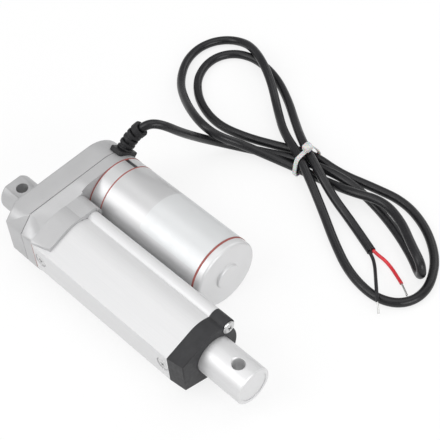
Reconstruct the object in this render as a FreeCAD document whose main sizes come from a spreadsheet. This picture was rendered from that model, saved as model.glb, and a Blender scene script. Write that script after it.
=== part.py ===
import FreeCAD, Part
import math
import os
import Sketcher

# Parallel-motor linear actuator, retracted.
# X runs along the rod, towards its free end. Y points from the rod to the motor. Z is along both cross holes.
# The origin is the centre of the rear cross hole.

doc = FreeCAD.newDocument("LinearActuator")

SIZES = {
    "pin_bore": (6.4, "bore of both cross holes"),
    "pin_span": (155.0, "distance between the cross holes, retracted"),
    "stroke": (50.0, "travel of the rod"),
    "lug_radius": (9.8, "round bar that the rear lug is cut from"),
    "lug_half": (8.45, "half thickness between the flats of the lug"),
    "lug_reach": (8.3, "rear cross hole to the rear end of the lug"),
    "cover_back": (11.3, "rear cross hole to the rear face of the housing"),
    "cover_depth": (12.7, "rear cover along the rod"),
    "case_depth": (7.4, "gear case along the rod, without its saddle"),
    "case_wall": (2.4, "side walls of the housing"),
    "end_wall": (2.7, "rear and front walls of the housing"),
    "motor_clearance": (1.8, "gap between the tube profile and the motor shell"),
    "case_margin": (0.1, "how far the housing's round end stands proud of the motor shell"),
    "case_side": (20.1, "rod axis to the side wall of the housing"),
    "case_side_half": (10.3, "half height of that side wall"),
    "case_flat": (12.0, "rod axis to where the flat top starts to slope"),
    "saddle_length": (11.6, "saddle of the gear case over the tube profile"),
    "saddle_skin": (1.9, "thickness of the saddle"),
    "saddle_slant": (3.2, "how far the saddle draws in along its length"),
    "tube_radius": (15.1, "round outside of the tube profile"),
    "tube_side": (20.06, "rod axis to the flat side wall of the profile"),
    "tube_slope": (109.0, "direction of the normal of its sloped faces, degrees"),
    "tube_length": (97.3, "tube profile along the rod"),
    "tube_bore": (12.3, "inner radius of the profile"),
    "port_radius": (4.0, "screw port of the profile"),
    "port_place": (10.6, "screw port from the rod axis, along Y and along Z"),
    "channel_floor": (18.2, "rod axis to the floor of the switch channel"),
    "channel_half": (7.0, "half width of the switch channel"),
    "cap_length": (9.5, "front cap along the rod"),
    "cap_draft": (1.2, "how far the side of the cap draws in"),
    "rod_radius": (10.0, "push rod"),
    "rod_wall": (2.0, "wall of the push tube"),
    "rod_overhang": (9.0, "front cross hole to the end of the rod"),
    "shell_radius": (18.8, "motor shell, gaskets and gear ring"),
    "shell_wall": (1.6, "wall of the motor shell"),
    "shell_length": (65.9, "motor shell"),
    "ring_length": (7.55, "gear ring between its gaskets"),
    "ring_wall": (3.4, "gear ring outside the roots of its teeth"),
    "gasket_width": (0.6, "each red gasket"),
    "end_cap_length": (4.4, "motor end cap"),
    "dish_radius": (7.0, "round recess in the motor end cap"),
    "train_slack": (0.3, "how far the spur gears' centres stand from one straight line, along Y"),
    "backlash": (0.1, "tooth thickness taken off each flank"),
    "gear_width": (6.0, "spur gears"),
    "planet_width": (5.0, "planets and sun"),
    "shaft_gap": (0.08, "radial gap of a gear or shaft on its pin or bush"),
    "screw_radius": (3.7, "lead screw, at half the depth of its thread"),
    "screw_gap": (0.15, "radial gap between the lead screw and its nut"),
    "journal_radius": (4.0, "lead screw where the bearing and the gear sit"),
    "bearing_radius": (11.0, "outer radius of the lead screw's bearing"),
    "bearing_width": (7.0, "ball bearing"),
    "ball_radius": (1.95, "bearing balls"),
    "nut_length": (15.0, "lead nut"),
    "nut_gap": (4.1, "bearing to the lead nut, retracted"),
    "guide_gap": (0.1, "radial gap of the rod in its guide bush and seal"),
    "case_screw": (1.6, "shank radius of the housing screws"),
    "port_screw": (1.7, "shank radius of the front cap screws"),
    "air_gap": (1.0, "between the laminated core and the magnets"),
    "magnet_thickness": (4.2, "curved magnets inside the shell"),
    "core_back": (13.0, "motor shell's rear end to the laminated core"),
    "brush_space": (20.9, "laminated core to the motor shell's front end"),
    "switch_back": (20.0, "gear case to the first limit switch"),
    "switch_front": (17.0, "front end of the profile to the second limit switch"),
    "switch_length": (8.0, "limit switches, along the rod"),
    "boot_angle": (47.0, "direction of the strain relief round the motor axis, degrees"),
    "boot_seat": (17.9, "motor axis to the seat of the strain relief"),
    "boot_length": (15.0, "ribbed boot past its flange"),
    "boot_bend": (31.0, "how far the boot bends over, degrees"),
    "boot_radius": (4.3, "ribbed boot"),
    "flange_thickness": (2.5, "flange of the strain relief"),
    "cable_radius": (2.4, "outside of the cable"),
    "lead_radius": (0.9, "insulation of the two leads"),
    "floor_drop": (18.9, "rod axis to the surface that the actuator lies on"),
}

# Whole numbers of teeth. The carrier turns once for 1 + RING / SUN turns of the motor.
SUN_TEETH = 12
PLANET_TEETH = 12
RING_TEETH = SUN_TEETH + 2 * PLANET_TEETH
PINION_TEETH = 16
IDLER_TEETH = 16
SCREW_TEETH = 24
PRESSURE_ANGLE = math.radians(25)

sheet = doc.addObject("Spreadsheet::Sheet", "Sizes")
for row, (alias, (value, note)) in enumerate(SIZES.items(), start=1):
    sheet.set(f"A{row}", note)
    sheet.set(f"B{row}", str(value))
    sheet.setAlias(f"B{row}", alias)
doc.recompute()


class Size:
    """A number with the sheet expression that it follows."""

    def __init__(self, value, formula):
        self.value = value
        self.formula = formula

    def __add__(self, other):
        return Size(self.value + value_of(other), f"({self.formula} + {formula_of(other)})")

    def __sub__(self, other):
        return Size(self.value - value_of(other), f"({self.formula} - {formula_of(other)})")

    def __mul__(self, other):
        return Size(self.value * value_of(other), f"({self.formula} * {formula_of(other)})")

    def __truediv__(self, other):
        return Size(self.value / value_of(other), f"({self.formula} / {formula_of(other)})")

    def __rsub__(self, other):
        return Size(value_of(other) - self.value, f"({formula_of(other)} - {self.formula})")

    def __neg__(self):
        return Size(-self.value, f"(-1 * {self.formula})")

    __radd__ = __add__
    __rmul__ = __mul__


def value_of(item):
    return item.value if isinstance(item, Size) else float(item)


def formula_of(item):
    return item.formula if isinstance(item, Size) else repr(float(item))


def root(item):
    return Size(math.sqrt(item.value), f"sqrt({item.formula})")


def cosine(item):
    return Size(math.cos(math.radians(item.value)), f"cos({item.formula})")


def sine(item):
    return Size(math.sin(math.radians(item.value)), f"sin({item.formula})")


def bind(target, path, item):
    """Ties a property of an object to the sheet."""
    if isinstance(item, Size):
        target.setExpression(path, item.formula)
        return
    target.setExpression(path, repr(float(item)))


S = {alias: Size(float(sheet.get(alias)), f"Sizes.{alias}") for alias in SIZES}

# Stations along the rod.
COVER_BACK = S["cover_back"]
SEAM = COVER_BACK + S["cover_depth"]
CASE_FRONT = SEAM + S["case_depth"]
COVER_FLOOR = COVER_BACK + S["end_wall"]
CASE_FLOOR = CASE_FRONT - S["end_wall"]
SADDLE_END = CASE_FRONT + S["saddle_length"]
TUBE_END = CASE_FRONT + S["tube_length"]
CAP_FRONT = TUBE_END + S["cap_length"]
ROD_END = S["pin_span"] + S["rod_overhang"]
RING_BACK = CASE_FRONT
RING_FRONT = RING_BACK + S["ring_length"]
SHELL_BACK = RING_FRONT + S["gasket_width"]
SHELL_FRONT = SHELL_BACK + S["shell_length"]
END_CAP_BACK = SHELL_FRONT + S["gasket_width"]
END_CAP_FRONT = END_CAP_BACK + S["end_cap_length"]
MOTOR_FACE = CASE_FRONT - S["gasket_width"]
MOTOR_Y = S["tube_radius"] + S["motor_clearance"] + S["shell_radius"]
CASE_RADIUS = S["shell_radius"] + S["case_margin"]

# Gear train: the motor's sun drives three planets, the carrier's pinion an idler, the idler the screw's gear.
SCREW_MODULE = (MOTOR_Y + S["train_slack"]) / ((PINION_TEETH + IDLER_TEETH * 2 + SCREW_TEETH) / 2)
RING_MODULE = (S["shell_radius"] - S["ring_wall"]) / (RING_TEETH / 2 + 1.25)
PINION_REACH = SCREW_MODULE * ((PINION_TEETH + IDLER_TEETH) / 2)
SCREW_REACH = SCREW_MODULE * ((IDLER_TEETH + SCREW_TEETH) / 2)
PLANET_REACH = RING_MODULE * ((SUN_TEETH + PLANET_TEETH) / 2)
IDLER_Y = (SCREW_REACH * SCREW_REACH - PINION_REACH * PINION_REACH + MOTOR_Y * MOTOR_Y) / (MOTOR_Y * 2)
IDLER_Z = root(SCREW_REACH * SCREW_REACH - IDLER_Y * IDLER_Y)
GEAR_BACK = COVER_FLOOR + 3.0
GEAR_FRONT = GEAR_BACK + S["gear_width"]
PLANET_FRONT = RING_FRONT - 0.4
PLANET_BACK = PLANET_FRONT - S["planet_width"]
BEARING_BACK = CASE_FRONT + 2.0
BEARING_FRONT = BEARING_BACK + S["bearing_width"]

REAR_SIDE_SCREW = CASE_FRONT + 5.0
FRONT_SIDE_SCREW = TUBE_END - 4.0

# Small standard sizes.
BUSH_RADIUS = 5.0
OUTPUT_BUSH = 5.0
PIN_RADIUS = 2.0
SHAFT_RADIUS = 3.0
SHAFT_MOTOR = 2.0
PLANET_PIN = 1.5
CARRIER_RADIUS = PLANET_REACH + 3.0
COMMUTATOR = 5.5
BALLS = 7
HEAD_RADIUS = 2.9
PORT_HEAD = 3.8
SIDE_SCREW = 1.3
SIDE_HEAD = 2.4
SPIGOT_RADIUS = 12.25
CAP_SPIGOT = 7.0
GUIDE_LENGTH = 9.0
NUT_FLANGE = 3.5
ROD_TAIL = BEARING_FRONT + S["nut_gap"] + NUT_FLANGE
KEY_REACH = 13.2
SEAL_RADIUS = 12.0
SEAL_BACK = TUBE_END + 2.0
SEAL_FRONT = SEAL_BACK + 4.0
FLANGE_LENGTH = 8.0
FLANGE_WIDTH = 14.0
NECK_RADIUS = 3.2
BOOT_RIBS = 4
RING_SLOT_ANGLE = 62.0

parts = []


def keep(item, label):
    """Marks an object as one of the actuator's pieces."""
    item.Label = label
    parts.append(item)
    return item


def origin_of(body, role):
    return [item for item in body.Origin.OriginFeatures if item.Role == role][0]


def new_body(label, x=0, y=0, z=0):
    body = doc.addObject("PartDesign::Body", "Body")
    body.Label = label
    bind(body, "Placement.Base.x", x)
    bind(body, "Placement.Base.y", y)
    bind(body, "Placement.Base.z", z)
    return body


def new_sketch(body, role="YZ_Plane", offset=0):
    """Puts an empty sketch on one of the body's own planes, moved along the plane's normal."""
    sketch = body.newObject("Sketcher::SketchObject", "Sketch")
    sketch.AttachmentSupport = [(origin_of(body, role), "")]
    sketch.MapMode = "FlatFace"
    bind(sketch, "AttachmentOffset.Base.z", offset)
    return sketch


def hold(sketch, kind, geometry, point, item):
    """Fixes one coordinate of a point, measured from the sketch's origin."""
    if not isinstance(item, Size) and item == 0:
        axis = -2 if kind == "DistanceX" else -1
        sketch.addConstraint(Sketcher.Constraint("PointOnObject", geometry, point, axis))
        return
    rule = sketch.addConstraint(Sketcher.Constraint(kind, -1, 1, geometry, point, value_of(item)))
    if isinstance(item, Size):
        sketch.setExpression(f"Constraints[{rule}]", item.formula)


def add_circle(sketch, radius, u=0, v=0):
    centre = FreeCAD.Vector(value_of(u), value_of(v), 0)
    circle = sketch.addGeometry(Part.Circle(centre, FreeCAD.Vector(0, 0, 1), value_of(radius)))
    hold(sketch, "DistanceX", circle, 3, u)
    hold(sketch, "DistanceY", circle, 3, v)
    rule = sketch.addConstraint(Sketcher.Constraint("Radius", circle, value_of(radius)))
    if isinstance(radius, Size):
        sketch.setExpression(f"Constraints[{rule}]", radius.formula)
    return sketch


def add_outline(sketch, corners):
    """Draws a closed outline. A corner is (u, v), or (u, v, centre u, centre v, turn) where the edge
    that leaves it is an arc about that centre: turn 1 is anticlockwise and -1 clockwise."""
    count = len(corners)
    edges = []
    for index, corner in enumerate(corners):
        following = corners[(index + 1) % count]
        start = FreeCAD.Vector(value_of(corner[0]), value_of(corner[1]), 0)
        end = FreeCAD.Vector(value_of(following[0]), value_of(following[1]), 0)
        if len(corner) == 2:
            edges.append((sketch.addGeometry(Part.LineSegment(start, end)), 1, 2))
            continue
        centre = FreeCAD.Vector(value_of(corner[2]), value_of(corner[3]), 0)
        first, last = (start, end) if corner[4] > 0 else (end, start)
        circle = Part.Circle(centre, FreeCAD.Vector(0, 0, 1), (start - centre).Length)
        arc = Part.ArcOfCircle(circle, circle.parameter(first), circle.parameter(last))
        near, far = (1, 2) if corner[4] > 0 else (2, 1)
        edges.append((sketch.addGeometry(arc), near, far))
    for index, (edge, near, far) in enumerate(edges):
        following = edges[(index + 1) % count]
        sketch.addConstraint(Sketcher.Constraint("Coincident", edge, far, following[0], following[1]))
    for index, (edge, near, far) in enumerate(edges):
        corner = corners[index]
        before = corners[index - 1]
        free = ""
        if len(before) > 2:
            across = abs(value_of(corner[0]) - value_of(before[2]))
            along = abs(value_of(corner[1]) - value_of(before[3]))
            free = "DistanceY" if along > across else "DistanceX"
        for kind, item in (("DistanceX", corner[0]), ("DistanceY", corner[1])):
            if kind != free:
                hold(sketch, kind, edge, near, item)
        if len(corner) > 2:
            hold(sketch, "DistanceX", edge, 3, corner[2])
            hold(sketch, "DistanceY", edge, 3, corner[3])
    return sketch


def pad(body, sketch, length):
    feature = body.newObject("PartDesign::Pad", "Pad")
    feature.Profile = sketch
    bind(feature, "Length", length)
    return feature


def pocket(body, sketch, length, along=True):
    """Cuts a sketch's outline out of the body, along the sketch's normal or against it."""
    feature = body.newObject("PartDesign::Pocket", "Pocket")
    feature.Profile = sketch
    feature.Reversed = along
    bind(feature, "Length", length)
    return feature


def through_pocket(body, sketch):
    """Cuts a sketch's outline right through the body, both ways."""
    feature = body.newObject("PartDesign::Pocket", "Pocket")
    feature.Profile = sketch
    feature.Type = "ThroughAll"
    feature.Midplane = True
    return feature


def revolve(body, corners, kind="PartDesign::Revolution", plane="XY_Plane", axis="X_Axis"):
    """Turns an outline about one of the body's own axes: (x, radius) corners about X, as a rule."""
    feature_sketch = add_outline(new_sketch(body, plane), corners)
    feature = body.newObject(kind, "Turned")
    feature.Profile = feature_sketch
    feature.ReferenceAxis = (origin_of(body, axis), [""])
    feature.Angle = 360
    return feature


def turned_body(corners, x=0, y=0, z=0):
    """A body turned about an axis along X."""
    body = new_body("turned", x, y, z)
    revolve(body, corners)
    return body


def turned(label, corners, x=0, y=0, z=0):
    return keep(turned_body(corners, x, y, z), label)


def sleeve(inner, outer, back, front):
    """Outline of a plain ring or tube between two stations."""
    return [(back, inner), (front, inner), (front, outer), (back, outer)]


def rounded(body, feature, radius, chosen, kind="PartDesign::Fillet"):
    """Rounds or bevels the edges of the last feature that the test picks."""
    doc.recompute()
    names = [f"Edge{n}" for n, edge in enumerate(feature.Shape.Edges, start=1) if chosen(edge)]
    smooth = body.newObject(kind, "Smooth")
    smooth.Base = (feature, names)
    bind(smooth, "Size" if kind.endswith("Chamfer") else "Radius", radius)
    return smooth


def lies_at(edge, axis, place):
    """True where every point of an edge has the given coordinate."""
    box = edge.BoundBox
    low, high = (box.XMin, box.XMax) if axis == "x" else (box.YMin, box.YMax)
    return abs(low - value_of(place)) < 1e-4 and abs(high - value_of(place)) < 1e-4


def cylinder(radius, length, x=0, y=0, z=0):
    """A round bar along X."""
    item = doc.addObject("Part::Cylinder", "Bar")
    item.Placement = FreeCAD.Placement(FreeCAD.Vector(), FreeCAD.Rotation(FreeCAD.Vector(0, 1, 0), 90))
    bind(item, "Radius", radius)
    bind(item, "Height", length)
    bind(item, "Placement.Base.x", x)
    bind(item, "Placement.Base.y", y)
    bind(item, "Placement.Base.z", z)
    return item


def box(x, y, z):
    """A block between pairs of stations along each axis."""
    item = doc.addObject("Part::Box", "Block")
    for side, base, (low, high) in (("Length", "x", x), ("Width", "y", y), ("Height", "z", z)):
        bind(item, side, high - low)
        bind(item, f"Placement.Base.{base}", low)
    return item


def group(label, items):
    """Several separate solids in one node."""
    item = doc.addObject("Part::Compound", "Group")
    item.Links = items
    return keep(item, label)


def cut(label, base, tool):
    item = doc.addObject("Part::Cut", "Cut")
    item.Base = base
    item.Tool = tool
    return keep(item, label)


def fuse(items):
    item = doc.addObject("Part::MultiFuse", "Fused")
    item.Shapes = items
    return item


def housing_outline(inset=0):
    """Flat top and bottom, half round about the motor axis, bevelled towards a flat side wall."""
    radius = CASE_RADIUS - inset
    flat = S["case_flat"] - inset * 0.4
    side = S["case_side"] - inset
    half = S["case_side_half"] - inset * 0.4
    return [(-side, -half), (-flat, -radius), (MOTOR_Y, -radius, MOTOR_Y, 0, 1), (MOTOR_Y, radius),
            (-flat, radius), (-side, half)]


def tube_outline(grow=0):
    """Round about the rod axis, with two sloped faces that run from it to a flat side wall."""
    radius = S["tube_radius"] + grow
    side = S["tube_side"] + grow
    lean = cosine(S["tube_slope"])
    rise = sine(S["tube_slope"])
    corner = (radius + side * lean) / rise
    return [(-side, -corner), (radius * lean, -(radius * rise), 0, 0, 1), (radius * lean, radius * rise),
            (-side, corner)]


def ports(sketch, radius):
    """Circles at both screw ports of the tube profile."""
    for side in (-1, 1):
        add_circle(sketch, radius, S["port_place"], S["port_place"] * side)
    return sketch


def box_outline(u_low, u_high, v_low, v_high):
    return [(u_low, v_low), (u_high, v_low), (u_high, v_high), (u_low, v_high)]


SCREW_SPOTS = [(-14.0, 11.5), (-14.0, -11.5), (MOTOR_Y + 4.6, 13.7), (MOTOR_Y + 4.6, -13.7)]


def case_screw_circles(sketch, radius):
    for y, z in SCREW_SPOTS:
        add_circle(sketch, radius, y, z)
    return sketch


def boot_frame(item, reach, x, across):
    """Stands an item on the housing's round end, its own Z pointing away from the motor axis."""
    item.Placement = FreeCAD.Placement(FreeCAD.Vector(), FreeCAD.Rotation(FreeCAD.Vector(1, 0, 0), 0))
    turn = S["boot_angle"] - 90
    item.setExpression("Placement.Rotation.Angle", turn.formula)
    item.setExpression("Placement.Rotation.Axis.x", "1")
    item.setExpression("Placement.Rotation.Axis.y", "0")
    item.setExpression("Placement.Rotation.Axis.z", "0")
    lean = cosine(S["boot_angle"])
    rise = sine(S["boot_angle"])
    bind(item, "Placement.Base.x", x)
    bind(item, "Placement.Base.y", MOTOR_Y + lean * reach + rise * across)
    bind(item, "Placement.Base.z", rise * reach - lean * across)
    return item


def boot_seat():
    """Flat seat and round passage that the strain relief needs in both halves of the housing."""
    seat = doc.addObject("Part::Box", "Seat")
    bind(seat, "Length", FLANGE_LENGTH + 0.2)
    bind(seat, "Width", FLANGE_WIDTH + 0.2)
    bind(seat, "Height", 6.0)
    boot_frame(seat, S["boot_seat"], SEAM - FLANGE_LENGTH / 2 - 0.1, -FLANGE_WIDTH / 2 - 0.1)
    passage = doc.addObject("Part::Cylinder", "Passage")
    bind(passage, "Radius", NECK_RADIUS + 0.05)
    bind(passage, "Height", 6.0)
    boot_frame(passage, S["boot_seat"] - 5.0, SEAM, 0)
    return fuse([seat, passage])


def rear_cover():
    """Cast rear half of the housing with the rear lug, open towards the gear case."""
    body = new_body("rear_cover_casting")
    block = pad(body, add_outline(new_sketch(body, offset=COVER_BACK), housing_outline()), S["cover_depth"])
    block = rounded(body, block, 1.6, lambda edge: lies_at(edge, "x", COVER_BACK))
    flat = root(S["lug_radius"] * S["lug_radius"] - S["lug_half"] * S["lug_half"])
    lug = [(flat, -S["lug_half"], 0, 0, 1), (flat, S["lug_half"]), (-flat, S["lug_half"], 0, 0, 1),
           (-flat, -S["lug_half"])]
    lug_sketch = add_outline(new_sketch(body, offset=-S["lug_reach"]), lug)
    lug_pad = pad(body, lug_sketch, S["lug_reach"] + COVER_BACK + 1.0)
    lug_pad = rounded(body, lug_pad, 1.8, lambda edge: lies_at(edge, "x", -S["lug_reach"]))
    through_pocket(body, add_circle(new_sketch(body, "XY_Plane"), S["pin_bore"] / 2))
    cavity = add_outline(new_sketch(body, offset=COVER_FLOOR), housing_outline(S["case_wall"]))
    pocket(body, cavity, SEAM - COVER_FLOOR + 1.0)
    pad(body, case_screw_circles(new_sketch(body, offset=COVER_FLOOR - 0.5), 3.3), SEAM - COVER_FLOOR + 0.5)
    bosses = new_sketch(body, offset=COVER_FLOOR - 0.5)
    add_circle(bosses, 7.0)
    add_circle(bosses, 7.0, MOTOR_Y)
    add_circle(bosses, 4.2, IDLER_Y, IDLER_Z)
    pad(body, bosses, 2.5)
    seats = new_sketch(body, offset=COVER_FLOOR - 1.2)
    add_circle(seats, BUSH_RADIUS)
    add_circle(seats, BUSH_RADIUS, MOTOR_Y)
    add_circle(seats, PIN_RADIUS, IDLER_Y, IDLER_Z)
    pocket(body, seats, 6.0)
    pocket(body, case_screw_circles(new_sketch(body, offset=COVER_BACK - 1.0), S["case_screw"] + 0.2), 30.0)
    pocket(body, case_screw_circles(new_sketch(body, offset=COVER_BACK - 1.0), HEAD_RADIUS + 0.2), 3.0)
    return cut("rear_cover", body, boot_seat())


def gear_case():
    """Cast front half of the housing: front wall, saddle over the profile, bearing spigot inside it."""
    body = new_body("gear_case_casting")
    pad(body, add_outline(new_sketch(body, offset=SEAM), housing_outline()), MOTOR_FACE - SEAM)
    step = add_outline(new_sketch(body, offset=MOTOR_FACE - 0.01), saddle_step())
    pad(body, step, S["gasket_width"] + 0.01)
    saddle = add_outline(new_sketch(body, offset=CASE_FRONT - 0.01), tube_outline(S["saddle_skin"]))
    pad(body, saddle, S["saddle_length"] + 0.01)
    saddle_ports = ports(new_sketch(body, offset=CASE_FRONT - 0.01), S["port_radius"] + S["saddle_skin"])
    pad(body, saddle_ports, S["saddle_length"] + 0.01)
    pocket(body, add_outline(new_sketch(body, offset=CASE_FRONT), tube_outline()), S["saddle_length"] + 1.0)
    pocket(body, ports(new_sketch(body, offset=CASE_FRONT), S["port_radius"]), S["saddle_length"] + 1.0)
    slant = new_sketch(body, "XY_Plane")
    edge = S["case_side"] + 0.05
    start = CASE_FRONT - 0.02
    add_outline(slant, [(start, -edge), (start, -(edge + 9.0)), (SADDLE_END + 1.0, -(edge + 9.0)),
                        (SADDLE_END + 1.0, -(edge - S["saddle_slant"]))])
    through_pocket(body, slant)
    relief = new_sketch(body, offset=CASE_FRONT)
    add_outline(relief, box_outline(S["tube_radius"] - 2.5, MOTOR_Y, -6.3, 6.3))
    pocket(body, relief, S["saddle_length"] + 1.0)
    spigot = add_circle(new_sketch(body, offset=CASE_FRONT - 0.01), SPIGOT_RADIUS)
    pad(body, spigot, BEARING_FRONT - CASE_FRONT + 1.4)
    cavity = add_outline(new_sketch(body, offset=CASE_FLOOR), housing_outline(S["case_wall"]))
    pocket(body, cavity, 9.0, along=False)
    pad(body, case_screw_circles(new_sketch(body, offset=SEAM), 3.3), CASE_FLOOR - SEAM + 0.5)
    pin_boss = add_circle(new_sketch(body, offset=GEAR_FRONT + 1.2), 4.2, IDLER_Y, IDLER_Z)
    pad(body, pin_boss, CASE_FLOOR - GEAR_FRONT - 0.7)
    screw_holes = case_screw_circles(new_sketch(body, offset=SEAM - 0.5), S["case_screw"])
    pocket(body, screw_holes, CASE_FLOOR - SEAM + 1.8)
    holes = new_sketch(body, offset=SEAM - 0.5)
    add_circle(holes, S["journal_radius"] + 0.6)
    add_circle(holes, OUTPUT_BUSH, MOTOR_Y)
    pocket(body, holes, BEARING_FRONT)
    pin_seat = add_circle(new_sketch(body, offset=GEAR_FRONT), PIN_RADIUS, IDLER_Y, IDLER_Z)
    pocket(body, pin_seat, CASE_FLOOR - GEAR_FRONT + 1.5)
    pocket(body, add_circle(new_sketch(body, offset=BEARING_BACK), S["bearing_radius"]), 12.0)
    side_hole = add_circle(new_sketch(body, "XZ_Plane"), SIDE_SCREW, REAR_SIDE_SCREW, 0)
    pocket(body, side_hole, 30.0, along=True)
    return cut("gear_case", body, boot_seat())


def saddle_step():
    """Front wall of the gear case beside the motor's gasket, which the motor's round flange leaves free."""
    radius = CASE_RADIUS
    return [(-S["case_side"], -S["case_side_half"]), (-S["case_flat"], -radius), (S["tube_radius"], -radius),
            (S["tube_radius"], radius), (-S["case_flat"], radius), (-S["case_side"], S["case_side_half"])]


def pin_tool(place, radius, surface):
    """Cross hole with a small countersink at both ends."""
    hole = doc.addObject("Part::Cylinder", "Hole")
    bind(hole, "Radius", radius)
    bind(hole, "Height", surface * 2 + 2.0)
    bind(hole, "Placement.Base.x", place)
    bind(hole, "Placement.Base.z", -surface - 1.0)
    tools = [hole]
    for side in (-1, 1):
        sink = doc.addObject("Part::Cone", "Countersink")
        wide, narrow = radius + 1.0, radius
        bind(sink, "Radius1", narrow if side > 0 else wide)
        bind(sink, "Radius2", wide if side > 0 else narrow)
        bind(sink, "Height", 1.0)
        bind(sink, "Placement.Base.x", place)
        bind(sink, "Placement.Base.z", surface - 0.6 if side > 0 else -surface - 0.4)
        tools.append(sink)
    return fuse(tools)


def tube_profile():
    """Aluminium profile: round bore, switch channel, two screw ports."""
    body = new_body("tube_profile")
    pad(body, add_outline(new_sketch(body, offset=CASE_FRONT), tube_outline()), S["tube_length"])
    pad(body, ports(new_sketch(body, offset=CASE_FRONT), S["port_radius"]), S["tube_length"])
    start = CASE_FRONT - 1.0
    length = S["tube_length"] + 2.0
    pocket(body, add_circle(new_sketch(body, offset=start), S["tube_bore"]), length)
    channel = box_outline(-S["channel_floor"], -(S["tube_bore"] - 4.0), -S["channel_half"], S["channel_half"])
    pocket(body, add_outline(new_sketch(body, offset=start), channel), length)
    pocket(body, ports(new_sketch(body, offset=start), S["port_screw"]), length)
    steps = ((SIDE_SCREW + 0.3, S["channel_floor"] - 1.0), (SIDE_HEAD + 0.2, S["tube_side"] - 1.0))
    for radius, depth in steps:
        holes = new_sketch(body, "XZ_Plane", depth)
        add_circle(holes, radius, REAR_SIDE_SCREW)
        add_circle(holes, radius, FRONT_SIDE_SCREW)
        pocket(body, holes, 6.0)
    return keep(body, "tube_profile")


def front_cap():
    """Moulded cap over the profile's end, with a spigot into its bore and a groove for the wiper seal."""
    body = new_body("front_cap")
    block = pad(body, add_outline(new_sketch(body, offset=TUBE_END), tube_outline()), S["cap_length"])
    block = pad(body, ports(new_sketch(body, offset=TUBE_END), S["port_radius"]), S["cap_length"])
    draft = new_sketch(body, "XY_Plane")
    side = S["tube_side"]
    add_outline(draft, [(TUBE_END, -side), (TUBE_END, -(side + 4.0)), (CAP_FRONT + 1.0, -(side + 4.0)),
                        (CAP_FRONT + 1.0, -(side - S["cap_draft"] * 1.1))])
    block = through_pocket(body, draft)
    outer = value_of(S["rod_radius"]) + 3.0

    def on_rim(edge):
        centre = edge.BoundBox.Center
        return lies_at(edge, "x", CAP_FRONT) and math.hypot(centre.y, centre.z) > outer

    rounded(body, block, 0.7, on_rim)
    spigot = add_circle(new_sketch(body, offset=TUBE_END - CAP_SPIGOT), S["tube_bore"] - 0.05)
    pad(body, spigot, CAP_SPIGOT + 0.5)
    rod_hole = add_circle(new_sketch(body, offset=TUBE_END - CAP_SPIGOT - 1.0), S["rod_radius"] + 0.3)
    pocket(body, rod_hole, 30.0)
    groove = sleeve(S["rod_radius"] - 1.0, SEAL_RADIUS + 0.1, SEAL_BACK - 0.1, SEAL_FRONT + 0.1)
    revolve(body, groove, "PartDesign::Groove")
    pocket(body, ports(new_sketch(body, offset=TUBE_END - 1.0), S["port_screw"] + 0.3), S["cap_length"] + 4.0)
    pocket(body, ports(new_sketch(body, offset=CAP_FRONT - 0.8), PORT_HEAD + 0.1), 4.0)
    hole = add_circle(new_sketch(body, "XZ_Plane", S["rod_radius"] - 1.0), SIDE_SCREW, FRONT_SIDE_SCREW)
    pocket(body, hole, 5.0)
    return keep(body, "front_cap")


def screw_outline(shank, head, tip, seat, top, crown=0.5):
    """Half outline of a pan head screw, its head to the left of the seat."""
    side = 1 if value_of(top) > value_of(seat) else -1
    return [(tip, 0), (top, 0), (top, head - crown), (top - crown * side, head), (seat, head),
            (seat, shank), (tip, shank)]


def gear_points(teeth, module, phase, thick, addendum, dedendum):
    """Corners of an involute gear's outline. The flanks move outwards by `thick` at the pitch circle."""
    pitch = module * teeth / 2
    base = pitch * math.cos(PRESSURE_ANGLE)
    tip = pitch + addendum
    bottom = pitch - dedendum
    half = math.pi / (2 * teeth) + thick / pitch + math.tan(PRESSURE_ANGLE) - PRESSURE_ANGLE
    start = max(base, bottom)
    flank = []
    for radius in (start, (start + tip) / 2, tip):
        slope = math.acos(min(1.0, base / radius))
        flank.append((radius, half - math.tan(slope) + slope))
    if start - bottom > 0.2:
        flank.insert(0, (bottom, flank[0][1]))
    corners = []
    for tooth in range(teeth):
        middle = phase + 2 * math.pi * tooth / teeth
        corners += [(radius, middle - angle) for radius, angle in flank]
        corners += [(radius, middle + angle) for radius, angle in reversed(flank)]
    return [FreeCAD.Vector(0, radius * math.cos(angle), radius * math.sin(angle))
            for radius, angle in corners]


def prism(points, back, front):
    """Solid between two stations with the given outline."""
    wire = Part.makePolygon(points + points[:1])
    solid = Part.Face(wire).extrude(FreeCAD.Vector(front - back, 0, 0))
    solid.translate(FreeCAD.Vector(back, 0, 0))
    return solid


def shaped(label, shape, y=0.0, z=0.0):
    """A piece whose teeth come from the formula above."""
    item = doc.addObject("Part::Feature", label)
    item.Shape = shape
    item.Placement = FreeCAD.Placement(FreeCAD.Vector(0, value_of(y), value_of(z)), FreeCAD.Rotation())
    return keep(item, label)


def bar(radius, back, front):
    return Part.makeCylinder(radius, front - back, FreeCAD.Vector(back, 0, 0), FreeCAD.Vector(1, 0, 0))


def gear(label, teeth, module, phase, bore, back, front, y=0.0, z=0.0):
    """Spur gear with a plain bore."""
    module = value_of(module)
    back = value_of(back)
    front = value_of(front)
    points = gear_points(teeth, module, phase, -value_of(S["backlash"]), module, 1.25 * module)
    blank = prism(points, back, front).cut(bar(value_of(bore), back - 1, front + 1))
    return shaped(label, blank, y, z)


def mating_phase(phase, teeth, direction, other_teeth):
    """Phase of a gear with a tooth space where its neighbour, on the side given, has a tooth."""
    share = 0.5 - teeth * (direction - phase) / (2 * math.pi)
    return direction + math.pi - share * 2 * math.pi / other_teeth


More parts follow.
